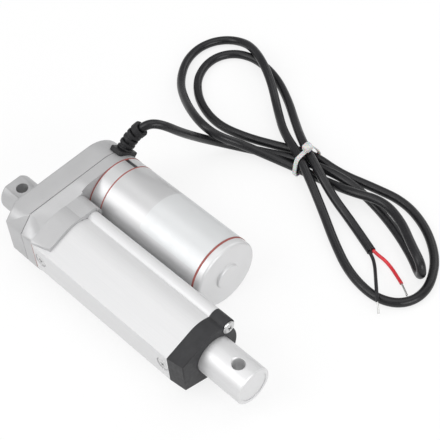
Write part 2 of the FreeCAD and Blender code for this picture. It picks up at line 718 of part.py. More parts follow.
def ring_gear(phase):
    """Gear ring of the planetary stage, with its teeth inside and a locating slot outside."""
    module = value_of(RING_MODULE)
    back, front = value_of(RING_BACK), value_of(RING_FRONT)
    radius = value_of(S["shell_radius"])
    spaces = gear_points(RING_TEETH, module, phase, value_of(S["backlash"]), 1.25 * module, module)
    relief = value_of(PLANET_BACK) - 0.3
    shape = bar(radius, back, front).cut(prism(spaces, relief - 0.01, front + 1))
    shape = shape.cut(bar(module * RING_TEETH / 2 + 1.25 * module + 0.5, back - 1, relief))
    slot = Part.makeBox(front - back + 2, 2.6, 3.0, FreeCAD.Vector(back - 1, -1.3, radius - 0.9))
    slot.rotate(FreeCAD.Vector(), FreeCAD.Vector(1, 0, 0), RING_SLOT_ANGLE - 90)
    return shaped("ring_gear", shape.cut(slot), MOTOR_Y)


def gear_train():
    """Planetary stage, pinion, idler and screw gear, meshed at rest."""
    motor = value_of(MOTOR_Y)
    sun_phase = 0.0
    gear("sun_gear", SUN_TEETH, RING_MODULE, sun_phase, SHAFT_MOTOR, PLANET_BACK, PLANET_FRONT, motor)
    reach = value_of(PLANET_REACH)
    for number in range(3):
        direction = math.pi / 2 + number * 2 * math.pi / 3
        phase = mating_phase(sun_phase, SUN_TEETH, direction, PLANET_TEETH)
        gear(f"planet_gear_{number + 1}", PLANET_TEETH, RING_MODULE, phase, PLANET_PIN + S["shaft_gap"],
             PLANET_BACK, PLANET_FRONT, motor + reach * math.cos(direction), reach * math.sin(direction))
        if number == 0:
            share = PLANET_TEETH * (direction - phase) / (2 * math.pi) - 0.5
            ring_gear(direction - (share + 0.5) * 2 * math.pi / RING_TEETH)
    idler_y, idler_z = value_of(IDLER_Y), value_of(IDLER_Z)
    pinion_phase = 0.0
    gear("output_pinion", PINION_TEETH, SCREW_MODULE, pinion_phase, SHAFT_RADIUS, GEAR_BACK, GEAR_FRONT,
         motor)
    towards_idler = math.atan2(idler_z, idler_y - motor)
    idler_phase = mating_phase(pinion_phase, PINION_TEETH, towards_idler, IDLER_TEETH)
    gear("idler_gear", IDLER_TEETH, SCREW_MODULE, idler_phase, PIN_RADIUS + S["shaft_gap"],
         GEAR_BACK, GEAR_FRONT, idler_y, idler_z)
    towards_screw = math.atan2(-idler_z, -idler_y)
    screw_phase = mating_phase(idler_phase, IDLER_TEETH, towards_screw, SCREW_TEETH)
    gear("screw_gear", SCREW_TEETH, SCREW_MODULE, screw_phase, S["journal_radius"], GEAR_BACK, GEAR_FRONT)


def carrier_and_pins():
    plate_back = RING_BACK + 0.3
    plate_front = PLANET_BACK - 0.3
    shaft_back = COVER_FLOOR - 0.9
    turned("planet_carrier", [(shaft_back, 0), (plate_front, 0), (plate_front, CARRIER_RADIUS),
                              (plate_back, CARRIER_RADIUS), (plate_back, SHAFT_RADIUS),
                              (shaft_back, SHAFT_RADIUS)], y=MOTOR_Y)
    reach = value_of(PLANET_REACH)
    pins = []
    for number in range(3):
        direction = math.pi / 2 + number * 2 * math.pi / 3
        pin_y = MOTOR_Y + PLANET_REACH * math.cos(direction)
        pin_z = PLANET_REACH * math.sin(direction)
        pins.append(cylinder(PLANET_PIN, PLANET_FRONT - plate_front, plate_front, pin_y, pin_z))
    group("planet_pins", pins)


def idler_pin():
    back = COVER_FLOOR - 1.2
    pin = cylinder(PIN_RADIUS, CASE_FLOOR + 0.8 - back, back, IDLER_Y, IDLER_Z)
    keep(pin, "idler_pin")


def bushes():
    gap = S["shaft_gap"]
    rear = sleeve(SHAFT_RADIUS + gap, BUSH_RADIUS, COVER_FLOOR - 1.2, GEAR_BACK - 0.3)
    turned("screw_rear_bush", rear)
    turned("output_rear_bush", rear, y=MOTOR_Y)
    turned("output_front_bush", sleeve(SHAFT_RADIUS + gap, OUTPUT_BUSH, CASE_FLOOR, MOTOR_FACE), y=MOTOR_Y)
    bore = SHAFT_MOTOR + gap
    turned("motor_front_bush", sleeve(bore, BUSH_RADIUS, SHELL_BACK, SHELL_BACK + 4.5), y=MOTOR_Y)
    turned("motor_rear_bush", sleeve(bore, BUSH_RADIUS, END_CAP_BACK - 3.0, END_CAP_FRONT - 2.6), y=MOTOR_Y)


def lead_screw_set():
    journal = S["journal_radius"]
    collar = journal + 1.5
    radius = S["screw_radius"]
    tail = COVER_FLOOR - 0.9
    tip = TUBE_END - 10.0
    turned("lead_screw", [(tail, 0), (tip, 0), (tip, radius - 0.8), (tip - 0.8, radius),
                          (BEARING_FRONT + 2.0, radius), (BEARING_FRONT + 2.0, collar),
                          (BEARING_FRONT, collar), (BEARING_FRONT, journal), (GEAR_BACK, journal),
                          (GEAR_BACK, SHAFT_RADIUS), (tail, SHAFT_RADIUS)])
    inner = journal + 1.6
    outer = S["bearing_radius"] - 1.4
    turned("bearing_inner_ring", sleeve(journal, inner, BEARING_BACK, BEARING_FRONT))
    turned("bearing_outer_ring", sleeve(outer, S["bearing_radius"], BEARING_BACK, BEARING_FRONT))
    turned("bearing_retainer", sleeve(outer - 0.8, S["bearing_radius"], BEARING_FRONT, BEARING_FRONT + 1.2))
    balls = []
    for number in range(BALLS):
        turn = 2 * math.pi * number / BALLS
        ball = doc.addObject("Part::Sphere", "Ball")
        bind(ball, "Radius", S["ball_radius"])
        bind(ball, "Placement.Base.x", BEARING_BACK + S["bearing_width"] / 2)
        bind(ball, "Placement.Base.y", (inner + outer) / 2 * math.cos(turn))
        bind(ball, "Placement.Base.z", (inner + outer) / 2 * math.sin(turn))
        balls.append(ball)
    group("bearing_balls", balls)


def rod_set():
    rod = S["rod_radius"]
    inner = rod - S["rod_wall"]
    tube = turned_body([(ROD_TAIL, inner), (ROD_END, inner), (ROD_END, rod - 0.5), (ROD_END - 0.5, rod),
                        (ROD_TAIL, rod)])
    cut("push_tube", tube, pin_tool(S["pin_span"], S["pin_bore"] / 2, rod))
    plug_back = S["pin_span"] - 12.0
    plug_front = ROD_END - 0.4
    plug = turned_body([(plug_back, 0), (plug_front, 0), (plug_front, inner), (plug_back, inner)])
    cut("rod_end", plug, pin_tool(S["pin_span"], S["pin_bore"] / 2, rod))
    bore = S["screw_radius"] + S["screw_gap"]
    flange = S["tube_bore"] - 0.3
    back = ROD_TAIL - NUT_FLANGE
    front = back + S["nut_length"]
    body = new_body("lead_nut")
    revolve(body, [(back, bore), (front, bore), (front, inner), (ROD_TAIL, inner), (ROD_TAIL, flange),
                   (back, flange)])
    key = box_outline(-(KEY_REACH), -(inner + 1.0), -(S["channel_half"] - 0.4), S["channel_half"] - 0.4)
    pad(body, add_outline(new_sketch(body, offset=back), key), NUT_FLANGE)
    keep(body, "lead_nut")


def seal_and_guide():
    inner = S["rod_radius"] + S["guide_gap"]
    turned("rod_seal", sleeve(inner, SEAL_RADIUS, SEAL_BACK, SEAL_FRONT))
    guide_front = TUBE_END - CAP_SPIGOT
    turned("rod_guide", sleeve(inner, S["tube_bore"] - 0.05, guide_front - GUIDE_LENGTH, guide_front))


def motor_housing():
    radius = S["shell_radius"]
    inner = radius - S["shell_wall"]
    gaskets = (("gasket_case", MOTOR_FACE), ("gasket_ring", RING_FRONT), ("gasket_end", SHELL_FRONT))
    for label, back in gaskets:
        turned(label, sleeve(inner, radius + 0.05, back, back + S["gasket_width"]), y=MOTOR_Y)
    front_wall = SHELL_BACK + 1.6
    boss = SHELL_BACK + 4.5
    turned("motor_shell", [(SHELL_BACK, BUSH_RADIUS), (boss, BUSH_RADIUS), (boss, 7.0), (front_wall, 7.0),
                           (front_wall, inner), (SHELL_FRONT, inner), (SHELL_FRONT, radius),
                           (SHELL_BACK, radius)], y=MOTOR_Y)
    rim = 2.0
    lip = radius - 0.1
    dish = S["dish_radius"]
    spigot = END_CAP_BACK - 5.0
    inside = END_CAP_BACK + 1.4
    turned("motor_end_cap", [
        (spigot, inner - 1.5), (inside, inner - 1.5), (inside, 7.0), (END_CAP_BACK - 3.0, 7.0),
        (END_CAP_BACK - 3.0, BUSH_RADIUS), (END_CAP_FRONT - 2.6, BUSH_RADIUS), (END_CAP_FRONT - 2.6, 0),
        (END_CAP_FRONT - 0.9, 0), (END_CAP_FRONT - 0.9, dish - 0.9), (END_CAP_FRONT, dish),
        (END_CAP_FRONT, lip - rim, END_CAP_FRONT - rim, lip - rim, 1), (END_CAP_FRONT - rim, lip),
        (END_CAP_BACK, lip), (END_CAP_BACK, inner), (spigot, inner)], y=MOTOR_Y)


def motor_inside():
    core_back = SHELL_BACK + S["core_back"]
    core_front = SHELL_FRONT - S["brush_space"]
    core_length = core_front - core_back
    shell_inside = S["shell_radius"] - S["shell_wall"]
    magnet_inside = shell_inside - S["magnet_thickness"]
    core_radius = magnet_inside - S["air_gap"]
    shaft_end = END_CAP_FRONT - 2.9
    turned("armature_shaft", [(PLANET_BACK - 0.1, 0), (shaft_end, 0), (shaft_end, SHAFT_MOTOR),
                              (PLANET_BACK - 0.1, SHAFT_MOTOR)], y=MOTOR_Y)
    core = new_body("armature_core", y=MOTOR_Y)
    pad(core, add_circle(new_sketch(core, offset=core_back), core_radius), core_length)
    slot = box_outline(-1.5, 1.5, 6.0, core_radius + 1.0)
    slot_sketch = add_outline(new_sketch(core, offset=core_back - 1.0), slot)
    slot_cut = pocket(core, slot_sketch, core_length + 2.0)
    slots = core.newObject("PartDesign::PolarPattern", "Slots")
    slots.Originals = [slot_cut]
    slots.Axis = (origin_of(core, "X_Axis"), [""])
    slots.Angle = 360
    slots.Occurrences = 5
    core.Tip = slots
    pocket(core, add_circle(new_sketch(core, offset=core_back - 1.0), SHAFT_MOTOR), core_length + 2.0)
    keep(core, "armature_core")
    turns = core_radius - 1.5
    ends = [turned_body(sleeve(SHAFT_MOTOR, turns, core_back - 6.0, core_back), y=MOTOR_Y),
            turned_body(sleeve(SHAFT_MOTOR, turns, core_front, core_front + 6.0), y=MOTOR_Y)]
    group("armature_windings", ends)
    bars_back = core_front + 7.0
    turned("commutator", sleeve(SHAFT_MOTOR, COMMUTATOR, bars_back, bars_back + 8.0), y=MOTOR_Y)
    brushes = []
    for side in (-1, 1):
        near = COMMUTATOR + 0.3
        far = COMMUTATOR + 6.0
        reach = (MOTOR_Y + near, MOTOR_Y + far) if side > 0 else (MOTOR_Y - far, MOTOR_Y - near)
        brushes.append(box((bars_back + 2.0, bars_back + 6.0), reach, (-2.0, 2.0)))
    group("brushes", brushes)
    plate = sleeve(COMMUTATOR + 1.0, shell_inside, bars_back + 6.0, END_CAP_BACK - 5.0)
    turned("brush_plate", plate, y=MOTOR_Y)
    lean = math.cos(math.radians(25))
    rise = math.sin(math.radians(25))
    magnets = []
    for side in (-1, 1):
        magnet = new_body("magnet", y=MOTOR_Y)
        low = (magnet_inside * lean, magnet_inside * rise * side)
        high = (shell_inside * lean, shell_inside * rise * side)
        outline = [low, (high[0], high[1], 0, 0, side), (-high[0], high[1]), (-low[0], low[1], 0, 0, -side)]
        pad(magnet, add_outline(new_sketch(magnet, offset=core_back - 1.0), outline), core_length + 2.0)
        magnets.append(magnet)
    group("motor_magnets", magnets)


def fasteners():
    rear_screws = []
    for y, z in SCREW_SPOTS:
        outline = screw_outline(S["case_screw"], HEAD_RADIUS, CASE_FLOOR + 1.1, COVER_BACK + 2.0,
                                COVER_BACK + 0.3)
        rear_screws.append(turned_body(outline, y=y, z=z))
    group("housing_screws", rear_screws)
    long_screws = []
    for side in (-1, 1):
        seat = CAP_FRONT - 0.8
        outline = screw_outline(S["port_screw"], PORT_HEAD, TUBE_END - 14.0, seat, CAP_FRONT + 1.6, 0.9)
        long_screws.append(turned_body(outline, y=S["port_place"], z=S["port_place"] * side))
    group("cap_screws", long_screws)
    short_screws = []
    seat = -(S["tube_side"] - 1.0)
    top = seat - 0.8
    rear_tip = -(S["bearing_radius"] + 0.3)
    front_tip = -(S["rod_radius"] + 0.8)
    for place, tip in ((REAR_SIDE_SCREW, rear_tip), (FRONT_SIDE_SCREW, front_tip)):
        body = new_body("side_screw", x=place)
        outline = [(0, tip), (SIDE_SCREW, tip), (SIDE_SCREW, seat), (SIDE_HEAD, seat), (SIDE_HEAD, top),
                   (0, top)]
        revolve(body, outline, axis="Y_Axis")
        short_screws.append(body)
    group("side_screws", short_screws)


def switches():
    floor = -S["channel_floor"]
    board_back = CASE_FRONT + S["switch_back"]
    board_front = TUBE_END - S["switch_front"]
    length = S["switch_length"]
    board = box((board_back, board_front), (floor, floor + 1.4), (-5.0, 5.0))
    keep(board, "switch_board")
    top = floor + 1.4 + 3.1
    units = [box((back, back + length), (floor + 1.4, top), (-2.8, 2.8))
             for back in (board_back, board_front - length)]
    group("limit_switches", units)


def strain_relief():
    """Flange and ribbed boot, which bends over towards the free end of the motor."""
    bend = S["boot_length"] * (180 / math.pi) / S["boot_bend"]
    body = new_body("strain_relief")
    foot = S["flange_thickness"]
    long_side, short_side, corner = FLANGE_WIDTH / 2, FLANGE_LENGTH / 2, 1.5
    near, far = -bend - short_side, short_side - bend
    plate = [(far - corner, -long_side, far - corner, corner - long_side, 1), (far, corner - long_side),
             (far, long_side - corner, far - corner, long_side - corner, 1), (far - corner, long_side),
             (near + corner, long_side, near + corner, long_side - corner, 1), (near, long_side - corner),
             (near, corner - long_side, near + corner, corner - long_side, 1), (near + corner, -long_side)]
    pad(body, add_outline(new_sketch(body, "XY_Plane", -foot), plate), foot)
    pad(body, add_circle(new_sketch(body, "XY_Plane", -(foot + 4.0)), NECK_RADIUS, -bend), 4.5)
    core = body.newObject("PartDesign::Revolution", "Core")
    core.Profile = add_circle(new_sketch(body, "XY_Plane"), S["boot_radius"] - 0.9, -bend)
    core.ReferenceAxis = (origin_of(body, "Y_Axis"), [""])
    bind(core, "Angle", S["boot_bend"])
    rib_angle = S["boot_bend"] * 0.13
    rib = body.newObject("PartDesign::Revolution", "Rib")
    rib.Profile = add_circle(new_sketch(body, "XY_Plane"), S["boot_radius"], -bend)
    rib.ReferenceAxis = (origin_of(body, "Y_Axis"), [""])
    bind(rib, "Angle", rib_angle)
    ribs = body.newObject("PartDesign::PolarPattern", "Ribs")
    ribs.Originals = [rib]
    ribs.Axis = (origin_of(body, "Y_Axis"), [""])
    bind(ribs, "Angle", S["boot_bend"] - rib_angle)
    ribs.Occurrences = BOOT_RIBS
    body.Tip = ribs
    boot_frame(body, S["boot_seat"] + foot, SEAM + bend, 0)
    keep(body, "strain_relief")


def boot_end():
    """Centre of the boot's open end and the direction in which the cable leaves it."""
    bend = math.radians(value_of(S["boot_bend"]))
    lean = math.radians(value_of(S["boot_angle"]))
    radius = value_of(S["boot_length"]) / bend
    outward = FreeCAD.Vector(0, math.cos(lean), math.sin(lean))
    forward = FreeCAD.Vector(1, 0, 0)
    foot = value_of(S["boot_seat"]) + value_of(S["flange_thickness"])
    seat = FreeCAD.Vector(value_of(SEAM), value_of(MOTOR_Y), 0) + outward * foot
    end = seat + outward * (radius * math.sin(bend)) + forward * (radius * (1 - math.cos(bend)))
    return end, outward * math.cos(bend) + forward * math.sin(bend)


def route_wire(points):
    """Straight runs joined by tangent arcs, with the radius of each arc."""
    edges = []
    radii = []
    here = points[0]
    for before, corner, after in zip(points, points[1:], points[2:]):
        back, ahead = before - corner, after - corner
        turn = math.pi - back.getAngle(ahead)
        reach = 0.45 * min(back.Length, ahead.Length)
        radius = reach / math.tan(turn / 2)
        back.normalize()
        ahead.normalize()
        start, end = corner + back * reach, corner + ahead * reach
        inward = back + ahead
        inward.normalize()
        middle = corner + inward * (radius / math.cos(turn / 2) - radius)
        edges += [Part.LineSegment(here, start).toShape(), Part.Arc(start, middle, end).toShape()]
        radii.append(radius)
        here = end
    edges.append(Part.LineSegment(here, points[-1]).toShape())
    return Part.Wire(edges), radii


def tube(name, points, radius):
    """Round tube along a route, with its bends and its volume printed."""
    points = [FreeCAD.Vector(*point) for point in points]
    wire, radii = route_wire(points)
    ring = Part.Circle(points[0], points[1] - points[0], radius).toShape()
    solid = wire.makePipeShell([Part.Wire([ring])], True, False)
    share = solid.Volume / (math.pi * radius ** 2 * wire.Length)
    print(f"{name}: length {wire.Length:.1f}, volume over section times length {share:.4f},",
          f"tightest {min(radii):.1f}, arcs",
          " ".join(f"{value:.0f}" for value in radii))
    return solid


# Points of the cable's route after the boot, in the order in which they are laid.
CABLE_ROUTE = [
    (32, 64.5, 27.5), (35, 68.8, 24.6), (36.8, 76.7, 14.5), (35.1, 88.7, -0.6), (37, 99.4, -11.5),
    (43.3, 106.7, -16.2), (57.1, 113.7, -16.5), (74.8, 121.7, -15.3), (92.2, 125.5, -13.7),
    (108.1, 127.3, -13.5), (124.9, 126.5, -16.5), (143.6, 121.3, -16.5), (161.1, 113.8, -16.5),
    (170.9, 107.7, -16.5), (173.6, 106.2, -11.1), (170.9, 107.7, -5.7), (161.3, 112.7, -6),
    (145.9, 122.4, -8), (130.8, 126.3, -8.8), (114.7, 120.7, -9.7), (98.6, 121.4, -16.2),
    (80.9, 117.3, -15.3), (63.1, 111.9, -13.4), (49.4, 106.4, -10.2), (40.4, 97.8, -3.1),
    (31.5, 96.5, -0.6), (19.4, 100.2, -3.2), (3.5, 108.2, -9.4), (-11.7, 118.5, -15.1),
    (-22.1, 131.8, -16.5), (-25.1, 143.6, -16.5), (-23.2, 153.4, -16.5), (-18.3, 160.5, -16.5),
    (-11.1, 164.4, -16.4), (-0.6, 163.8, -13.4), (13.9, 157.8, -7.6), (28.6, 150.2, -11.9),
    (44.1, 139.3, -14.8), (59.4, 128.2, -11.9), (76.7, 120.7, -8.5), (93.8, 112.4, -10.8),
    (110.4, 104, -15), (126.8, 94.5, -16.5), (143.9, 85.9, -16.5), (160.4, 82.8, -16.5),
    (170.7, 85.3, -16.5), (176.9, 90.7, -16.5), (179.6, 98.5, -16.5), (178, 108.4, -16.5),
    (169.8, 121.6, -16.5), (154.2, 132.7, -16.5), (135.6, 138.1, -16.5), (116.7, 134.6, -16.5),
    (98.1, 130.1, -16.5), (79, 129.4, -14.9), (61.2, 122.4, -16.2), (43.5, 115.3, -16.5),
    (24.9, 111.3, -16.5), (6.7, 116.1, -16.5), (-6.2, 125.9, -16.5), (-11.7, 136.3, -16.5),
    (-12.4, 145.5, -16.5), (-9.3, 153.1, -16.5), (-2.9, 158.6, -16.5), (7.8, 161.3, -16.5),
    (24.5, 158.4, -16.5), (41.6, 149.9, -16.1), (57.2, 139.1, -13.8), (72.5, 128.5, -8.7),
    (89.8, 120.4, -8.3), (107.2, 113.8, -12.4), (125.3, 109.8, -16.5), (143.8, 103, -16.5)]
RED_ROUTE = [(147.4, 103.6, -16.8), (151.9, 103.9, -17.5), (157.5, 102.7, -17.9), (163.5, 100.1, -17.3),
             (168.3, 97.4, -15.4)]
BLACK_ROUTE = [(146.8, 100.7, -16.9), (150.8, 97.6, -16.9), (155.1, 93.2, -15.2), (159.0, 89.0, -12.6),
               (162.4, 85.5, -11.3), (165.6, 82.2, -11.3), (168.2, 79.7, -12.6)]
RED_TIP = [(168.3, 97.4, -15.4), (172.0, 94.9, -13.2), (176.2, 92.2, -12.7)]
BLACK_TIP = [(168.2, 79.7, -12.6), (170.0, 78.2, -14.2), (171.6, 76.9, -16.2)]
TIE_PLACE = 80.8
TIE_WIDTH = 2.6
TIE_BAND = 1.0
TIE_OUTLINE = [(115.3, -17.75), (130.6, -17.75), (132.0, -16.6), (132.0, -13.9), (128.2, -7.3),
               (126.4, -5.95), (117.6, -6.2), (115.7, -7.5), (114.1, -13.5), (114.1, -16.6)]
TIE_HEAD = (121.6, 126.2, -5.6, -1.8)


def cable():
    """Cable from the boot's end, its two leads and their tinned ends."""
    start, direction = boot_end()
    points = [start, start + direction * 3.0] + CABLE_ROUTE
    shaped("cable", tube("cable", points, value_of(S["cable_radius"])))
    end = FreeCAD.Vector(*CABLE_ROUTE[-1])
    along = end - FreeCAD.Vector(*CABLE_ROUTE[-2])
    across = FreeCAD.Vector(-along.y, along.x, 0)
    across.normalize()
    radius = value_of(S["lead_radius"])
    for name, side, route in (("red_lead", 1, RED_ROUTE), ("black_lead", -1, BLACK_ROUTE)):
        shaped(name, tube(name, [end + across * side * (radius + 0.15)] + route, radius))
    tips = [tube("tip", route, radius - 0.35) for route in (RED_TIP, BLACK_TIP)]
    shaped("lead_tips", Part.makeCompound(tips))


def cable_tie():
    """Band round the crossing of the strands, with its square head on top."""
    inside = Part.makePolygon([FreeCAD.Vector(0, y, z) for y, z in TIE_OUTLINE + TIE_OUTLINE[:1]])
    outside = inside.makeOffset2D(TIE_BAND)
    way = FreeCAD.Vector(TIE_WIDTH, 0, 0)
    low, high, bottom, top = TIE_HEAD
    head = Part.makeBox(TIE_WIDTH + 2.0, high - low, top - bottom, FreeCAD.Vector(-1.0, low, bottom))
    band = Part.Face(outside).extrude(way).fuse(head).cut(Part.Face(inside).extrude(way))
    band.translate(FreeCAD.Vector(TIE_PLACE - TIE_WIDTH / 2, 0, 0))
    shaped("cable_tie", band.removeSplitter())


rear_cover()
gear_case()
tube_profile()
front_cap()
motor_housing()
gear_train()
carrier_and_pins()
idler_pin()
bushes()
lead_screw_set()
rod_set()
seal_and_guide()
motor_inside()
fasteners()
switches()
strain_relief()
cable()
cable_tie()

doc.recompute()
os.makedirs("parts", exist_ok=True)
for item in doc.Objects:
    if "Invalid" in item.State or "Error" in item.State:
        raise RuntimeError(f"{item.Label} ({item.TypeId}) failed: {item.State}")
    if item.TypeId in ("PartDesign::Pocket", "PartDesign::Groove"):
        if item.Shape.Volume >= item.BaseFeature.Shape.Volume - 1e-3:
            raise RuntimeError(f"{item.Name} of {item.getParentGeoFeatureGroup().Label} cuts nothing")
for item in parts:
    if item.Shape.isNull() or not item.Shape.isValid():
        raise RuntimeError(f"{item.Label} has no valid shape")
    item.Shape.exportStep(f"parts/{item.Label}.step")
    print(item.Label, len(item.Shape.Solids), round(item.Shape.Volume, 1))
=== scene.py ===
"""Electric linear actuator: finishes, screws, strain relief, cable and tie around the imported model."""

import math
from collections import Counter

import bmesh
import bpy
from mathutils import Matrix, Vector

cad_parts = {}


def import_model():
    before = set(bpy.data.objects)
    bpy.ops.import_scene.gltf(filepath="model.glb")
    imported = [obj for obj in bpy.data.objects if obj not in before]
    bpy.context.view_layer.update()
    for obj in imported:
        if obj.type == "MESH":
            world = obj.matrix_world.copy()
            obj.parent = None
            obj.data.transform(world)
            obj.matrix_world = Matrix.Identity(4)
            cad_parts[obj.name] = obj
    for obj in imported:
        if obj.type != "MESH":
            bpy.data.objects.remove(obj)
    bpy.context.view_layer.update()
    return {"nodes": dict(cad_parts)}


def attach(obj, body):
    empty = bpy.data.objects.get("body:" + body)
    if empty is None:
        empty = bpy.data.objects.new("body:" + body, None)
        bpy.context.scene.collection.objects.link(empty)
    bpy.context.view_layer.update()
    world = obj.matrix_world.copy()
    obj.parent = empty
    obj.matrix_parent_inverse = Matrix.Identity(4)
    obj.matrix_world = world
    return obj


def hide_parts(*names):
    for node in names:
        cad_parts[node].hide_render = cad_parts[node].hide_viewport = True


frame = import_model()
nodes = frame["nodes"]

MM = 0.001

# Turned outlines start and end at this radius, so that their rows stay circles.
ON_AXIS = 0.00001
FLOOR = -0.0189
MOTOR_Y = 0.0357
SEAM = 0.024


# Helpers for meshes

def mm(x, y, z):
    """A point given in millimetres."""
    return Vector((x * MM, y * MM, z * MM))


def add_object(name, mesh, material=None):
    """Puts a mesh, curve, lamp or camera in the scene, with its material if it has one."""
    item = bpy.data.objects.new(name, mesh)
    bpy.context.scene.collection.objects.link(item)
    if material:
        mesh.materials.append(material)
    return item


def mesh_from(shape, name):
    """A mesh with a worked shape, which is freed."""
    mesh = bpy.data.meshes.new(name)
    shape.to_mesh(mesh)
    shape.free()
    return mesh


def mesh_of(name, points, faces, sharp):
    """A mesh of points and faces, smooth but for its sharp edges."""
    mesh = bpy.data.meshes.new(name)
    mesh.from_pydata([tuple(p) for p in points], [], faces)
    shape = bmesh.new()
    shape.from_mesh(mesh)
    bmesh.ops.remove_doubles(shape, verts=shape.verts, dist=1e-7)
    bmesh.ops.recalc_face_normals(shape, faces=shape.faces)
    shape.to_mesh(mesh)
    shape.free()
    soften(mesh, sharp)
    return mesh


def soften(mesh, sharp):
    """Smooth shading with edges kept where faces turn sharply."""
    mesh.polygons.foreach_set("use_smooth", [True] * len(mesh.polygons))
    mesh.set_sharp_from_angle(angle=math.radians(sharp))


def banded(rows, steps):
    """Faces between rows of points that each close on themselves."""
    faces = []
    for row in range(rows - 1):
        near, far = row * steps, (row + 1) * steps
        for k in range(steps):
            ahead = (k + 1) % steps
            faces.append((near + k, near + ahead, far + ahead, far + k))
    return faces


def lathe(outline, steps=48):
    """Points and faces of an outline of (radius, height) turned about Z."""
    points = []
    for radius, height in outline:
        for k in range(steps):
            turn = 2 * math.pi * k / steps
            points.append((radius * math.cos(turn), radius * math.sin(turn), height))
    return points, banded(len(outline), steps)


def facing(direction, place):
    """Matrix that turns local Z to a direction and moves the origin to a place."""
    turn = Vector((0, 0, 1)).rotation_difference(Vector(direction)).to_matrix().to_4x4()
    return Matrix.Translation(place) @ turn


def joined(name, meshes, material):
    """One object of several meshes."""
    shape = bmesh.new()
    for mesh in meshes:
        shape.from_mesh(mesh)
    return add_object(name, mesh_from(shape, name), material)


def applied(item):
    """A mesh with the modifiers of an object applied."""
    graph = bpy.context.evaluated_depsgraph_get()
    return bpy.data.meshes.new_from_object(item.evaluated_get(graph))


def carve(item, cutter):
    """Takes a cutter's shape away from an object."""
    cutting = item.modifiers.new("cut", "BOOLEAN")
    cutting.operation = "DIFFERENCE"
    cutting.object = cutter
    cutting.solver = "EXACT"
    return cutting


def swept(path, outline, closed=False, across=None):
    """Points and faces of a closed outline carried along a path of points."""
    count = len(path)
    points, faces = [], []
    side = across
    for k, here in enumerate(path):
        before = path[k - 1] if k or closed else here
        after = path[(k + 1) % count] if k < count - 1 or closed else here
        along = (after - before).normalized()
        if side is None:
            side = along.orthogonal()
        side = (side - along * side.dot(along)).normalized()
        up = along.cross(side)
        for u, v in outline:
            points.append(here + side * u + up * v)
    size = len(outline)
    for k in range(count if closed else count - 1):
        row, ahead = k * size, ((k + 1) % count) * size
        for j in range(size):
            faces.append((row + j, row + (j + 1) % size, ahead + (j + 1) % size, ahead + j))
    if not closed:
        faces.append(tuple(range(size - 1, -1, -1)))
        faces.append(tuple((count - 1) * size + j for j in range(size)))
    return points, faces


def circle(radius, steps):
    """Points of a circle in a plane."""
    turns = [2 * math.pi * k / steps for k in range(steps)]
    return [(radius * math.cos(turn), radius * math.sin(turn)) for turn in turns]


# Materials

NOISE_LOW = 0.3
NOISE_HIGH = 0.7


class Nodes:
    """Short calls that build a material's node tree."""

    def __init__(self, name):
        """Starts a material with its shader and the places on the object."""
        self.material = bpy.data.materials.new(name)
        self.material.use_nodes = True
        self.tree = self.material.node_tree
        self.shader = self.tree.nodes["Principled BSDF"]
        self.place = self.tree.nodes.new("ShaderNodeTexCoord").outputs["Object"]

    def add(self, kind, **settings):
        """A new node with its settings."""
        node = self.tree.nodes.new(kind)
        for key, value in settings.items():
            setattr(node, key, value)
        return node

    def link(self, source, target):
        """Joins an output to an input."""
        self.tree.links.new(source, target)

    def stretched(self, scale):
        """Places on the object, scaled along each axis."""
        node = self.add("ShaderNodeMapping")
        node.inputs["Scale"].default_value = scale
        self.link(self.place, node.inputs["Vector"])
        return node.outputs["Vector"]

    def noise(self, size, detail=4.0, rough=0.55, scale=(1, 1, 1)):
        """Noise whose grains are about a size in metres."""
        node = self.add("ShaderNodeTexNoise")
        node.inputs["Scale"].default_value = 1 / size
        node.inputs["Detail"].default_value = detail
        node.inputs["Roughness"].default_value = rough
        self.link(self.stretched(scale), node.inputs["Vector"])
        return node.outputs["Fac"]

    def spread(self, value, low, high):
        """The usual range of noise, spread between two numbers."""
        node = self.add("ShaderNodeMapRange")
        node.inputs["From Min"].default_value = NOISE_LOW
        node.inputs["From Max"].default_value = NOISE_HIGH
        node.inputs["To Min"].default_value = low
        node.inputs["To Max"].default_value = high
        self.link(value, node.inputs["Value"])
        return node.outputs["Result"]

    def tint(self, value, first, second):
        """Base colour that varies between two colours."""
        node = self.add("ShaderNodeMix", data_type="RGBA")
        self.link(value, node.inputs["Factor"])
        node.inputs["A"].default_value = (*first, 1)
        node.inputs["B"].default_value = (*second, 1)
        self.link(node.outputs["Result"], self.shader.inputs["Base Color"])

    def roughen(self, value, low, high):
        """Roughness that varies between two numbers."""
        self.link(self.spread(value, low, high), self.shader.inputs["Roughness"])

    def bump(self, value, height):
        """Relief of a height in metres."""
        node = self.add("ShaderNodeBump")
        node.inputs["Strength"].default_value = 1.0
        node.inputs["Distance"].default_value = height
        self.link(value, node.inputs["Height"])
        self.link(node.outputs["Normal"], self.shader.inputs["Normal"])

    def surface(self, **values):
        """Numbers that are the same all over the surface."""
        for key, value in values.items():
            self.shader.inputs[key.replace("_", " ")].default_value = value
        return self


def scaled(colour, share):
    """A colour made darker or lighter."""
    return tuple(min(1.0, part * share) for part in colour)


def painted(name, colour, metallic, roughness, grain, depth, uneven=0.05):
    """Paint or plating with a faint unevenness of tone and gloss and a fine grain."""
    made = Nodes(name).surface(Metallic=metallic)
    cloud = made.spread(made.noise(0.012, 5), 0, 1)
    made.tint(cloud, scaled(colour, 1 - uneven * 0.7), scaled(colour, 1 + uneven * 0.6))
    made.roughen(made.noise(0.003, 6), roughness - uneven, roughness + uneven)
    made.bump(made.noise(grain, 3), depth)
    return made.material


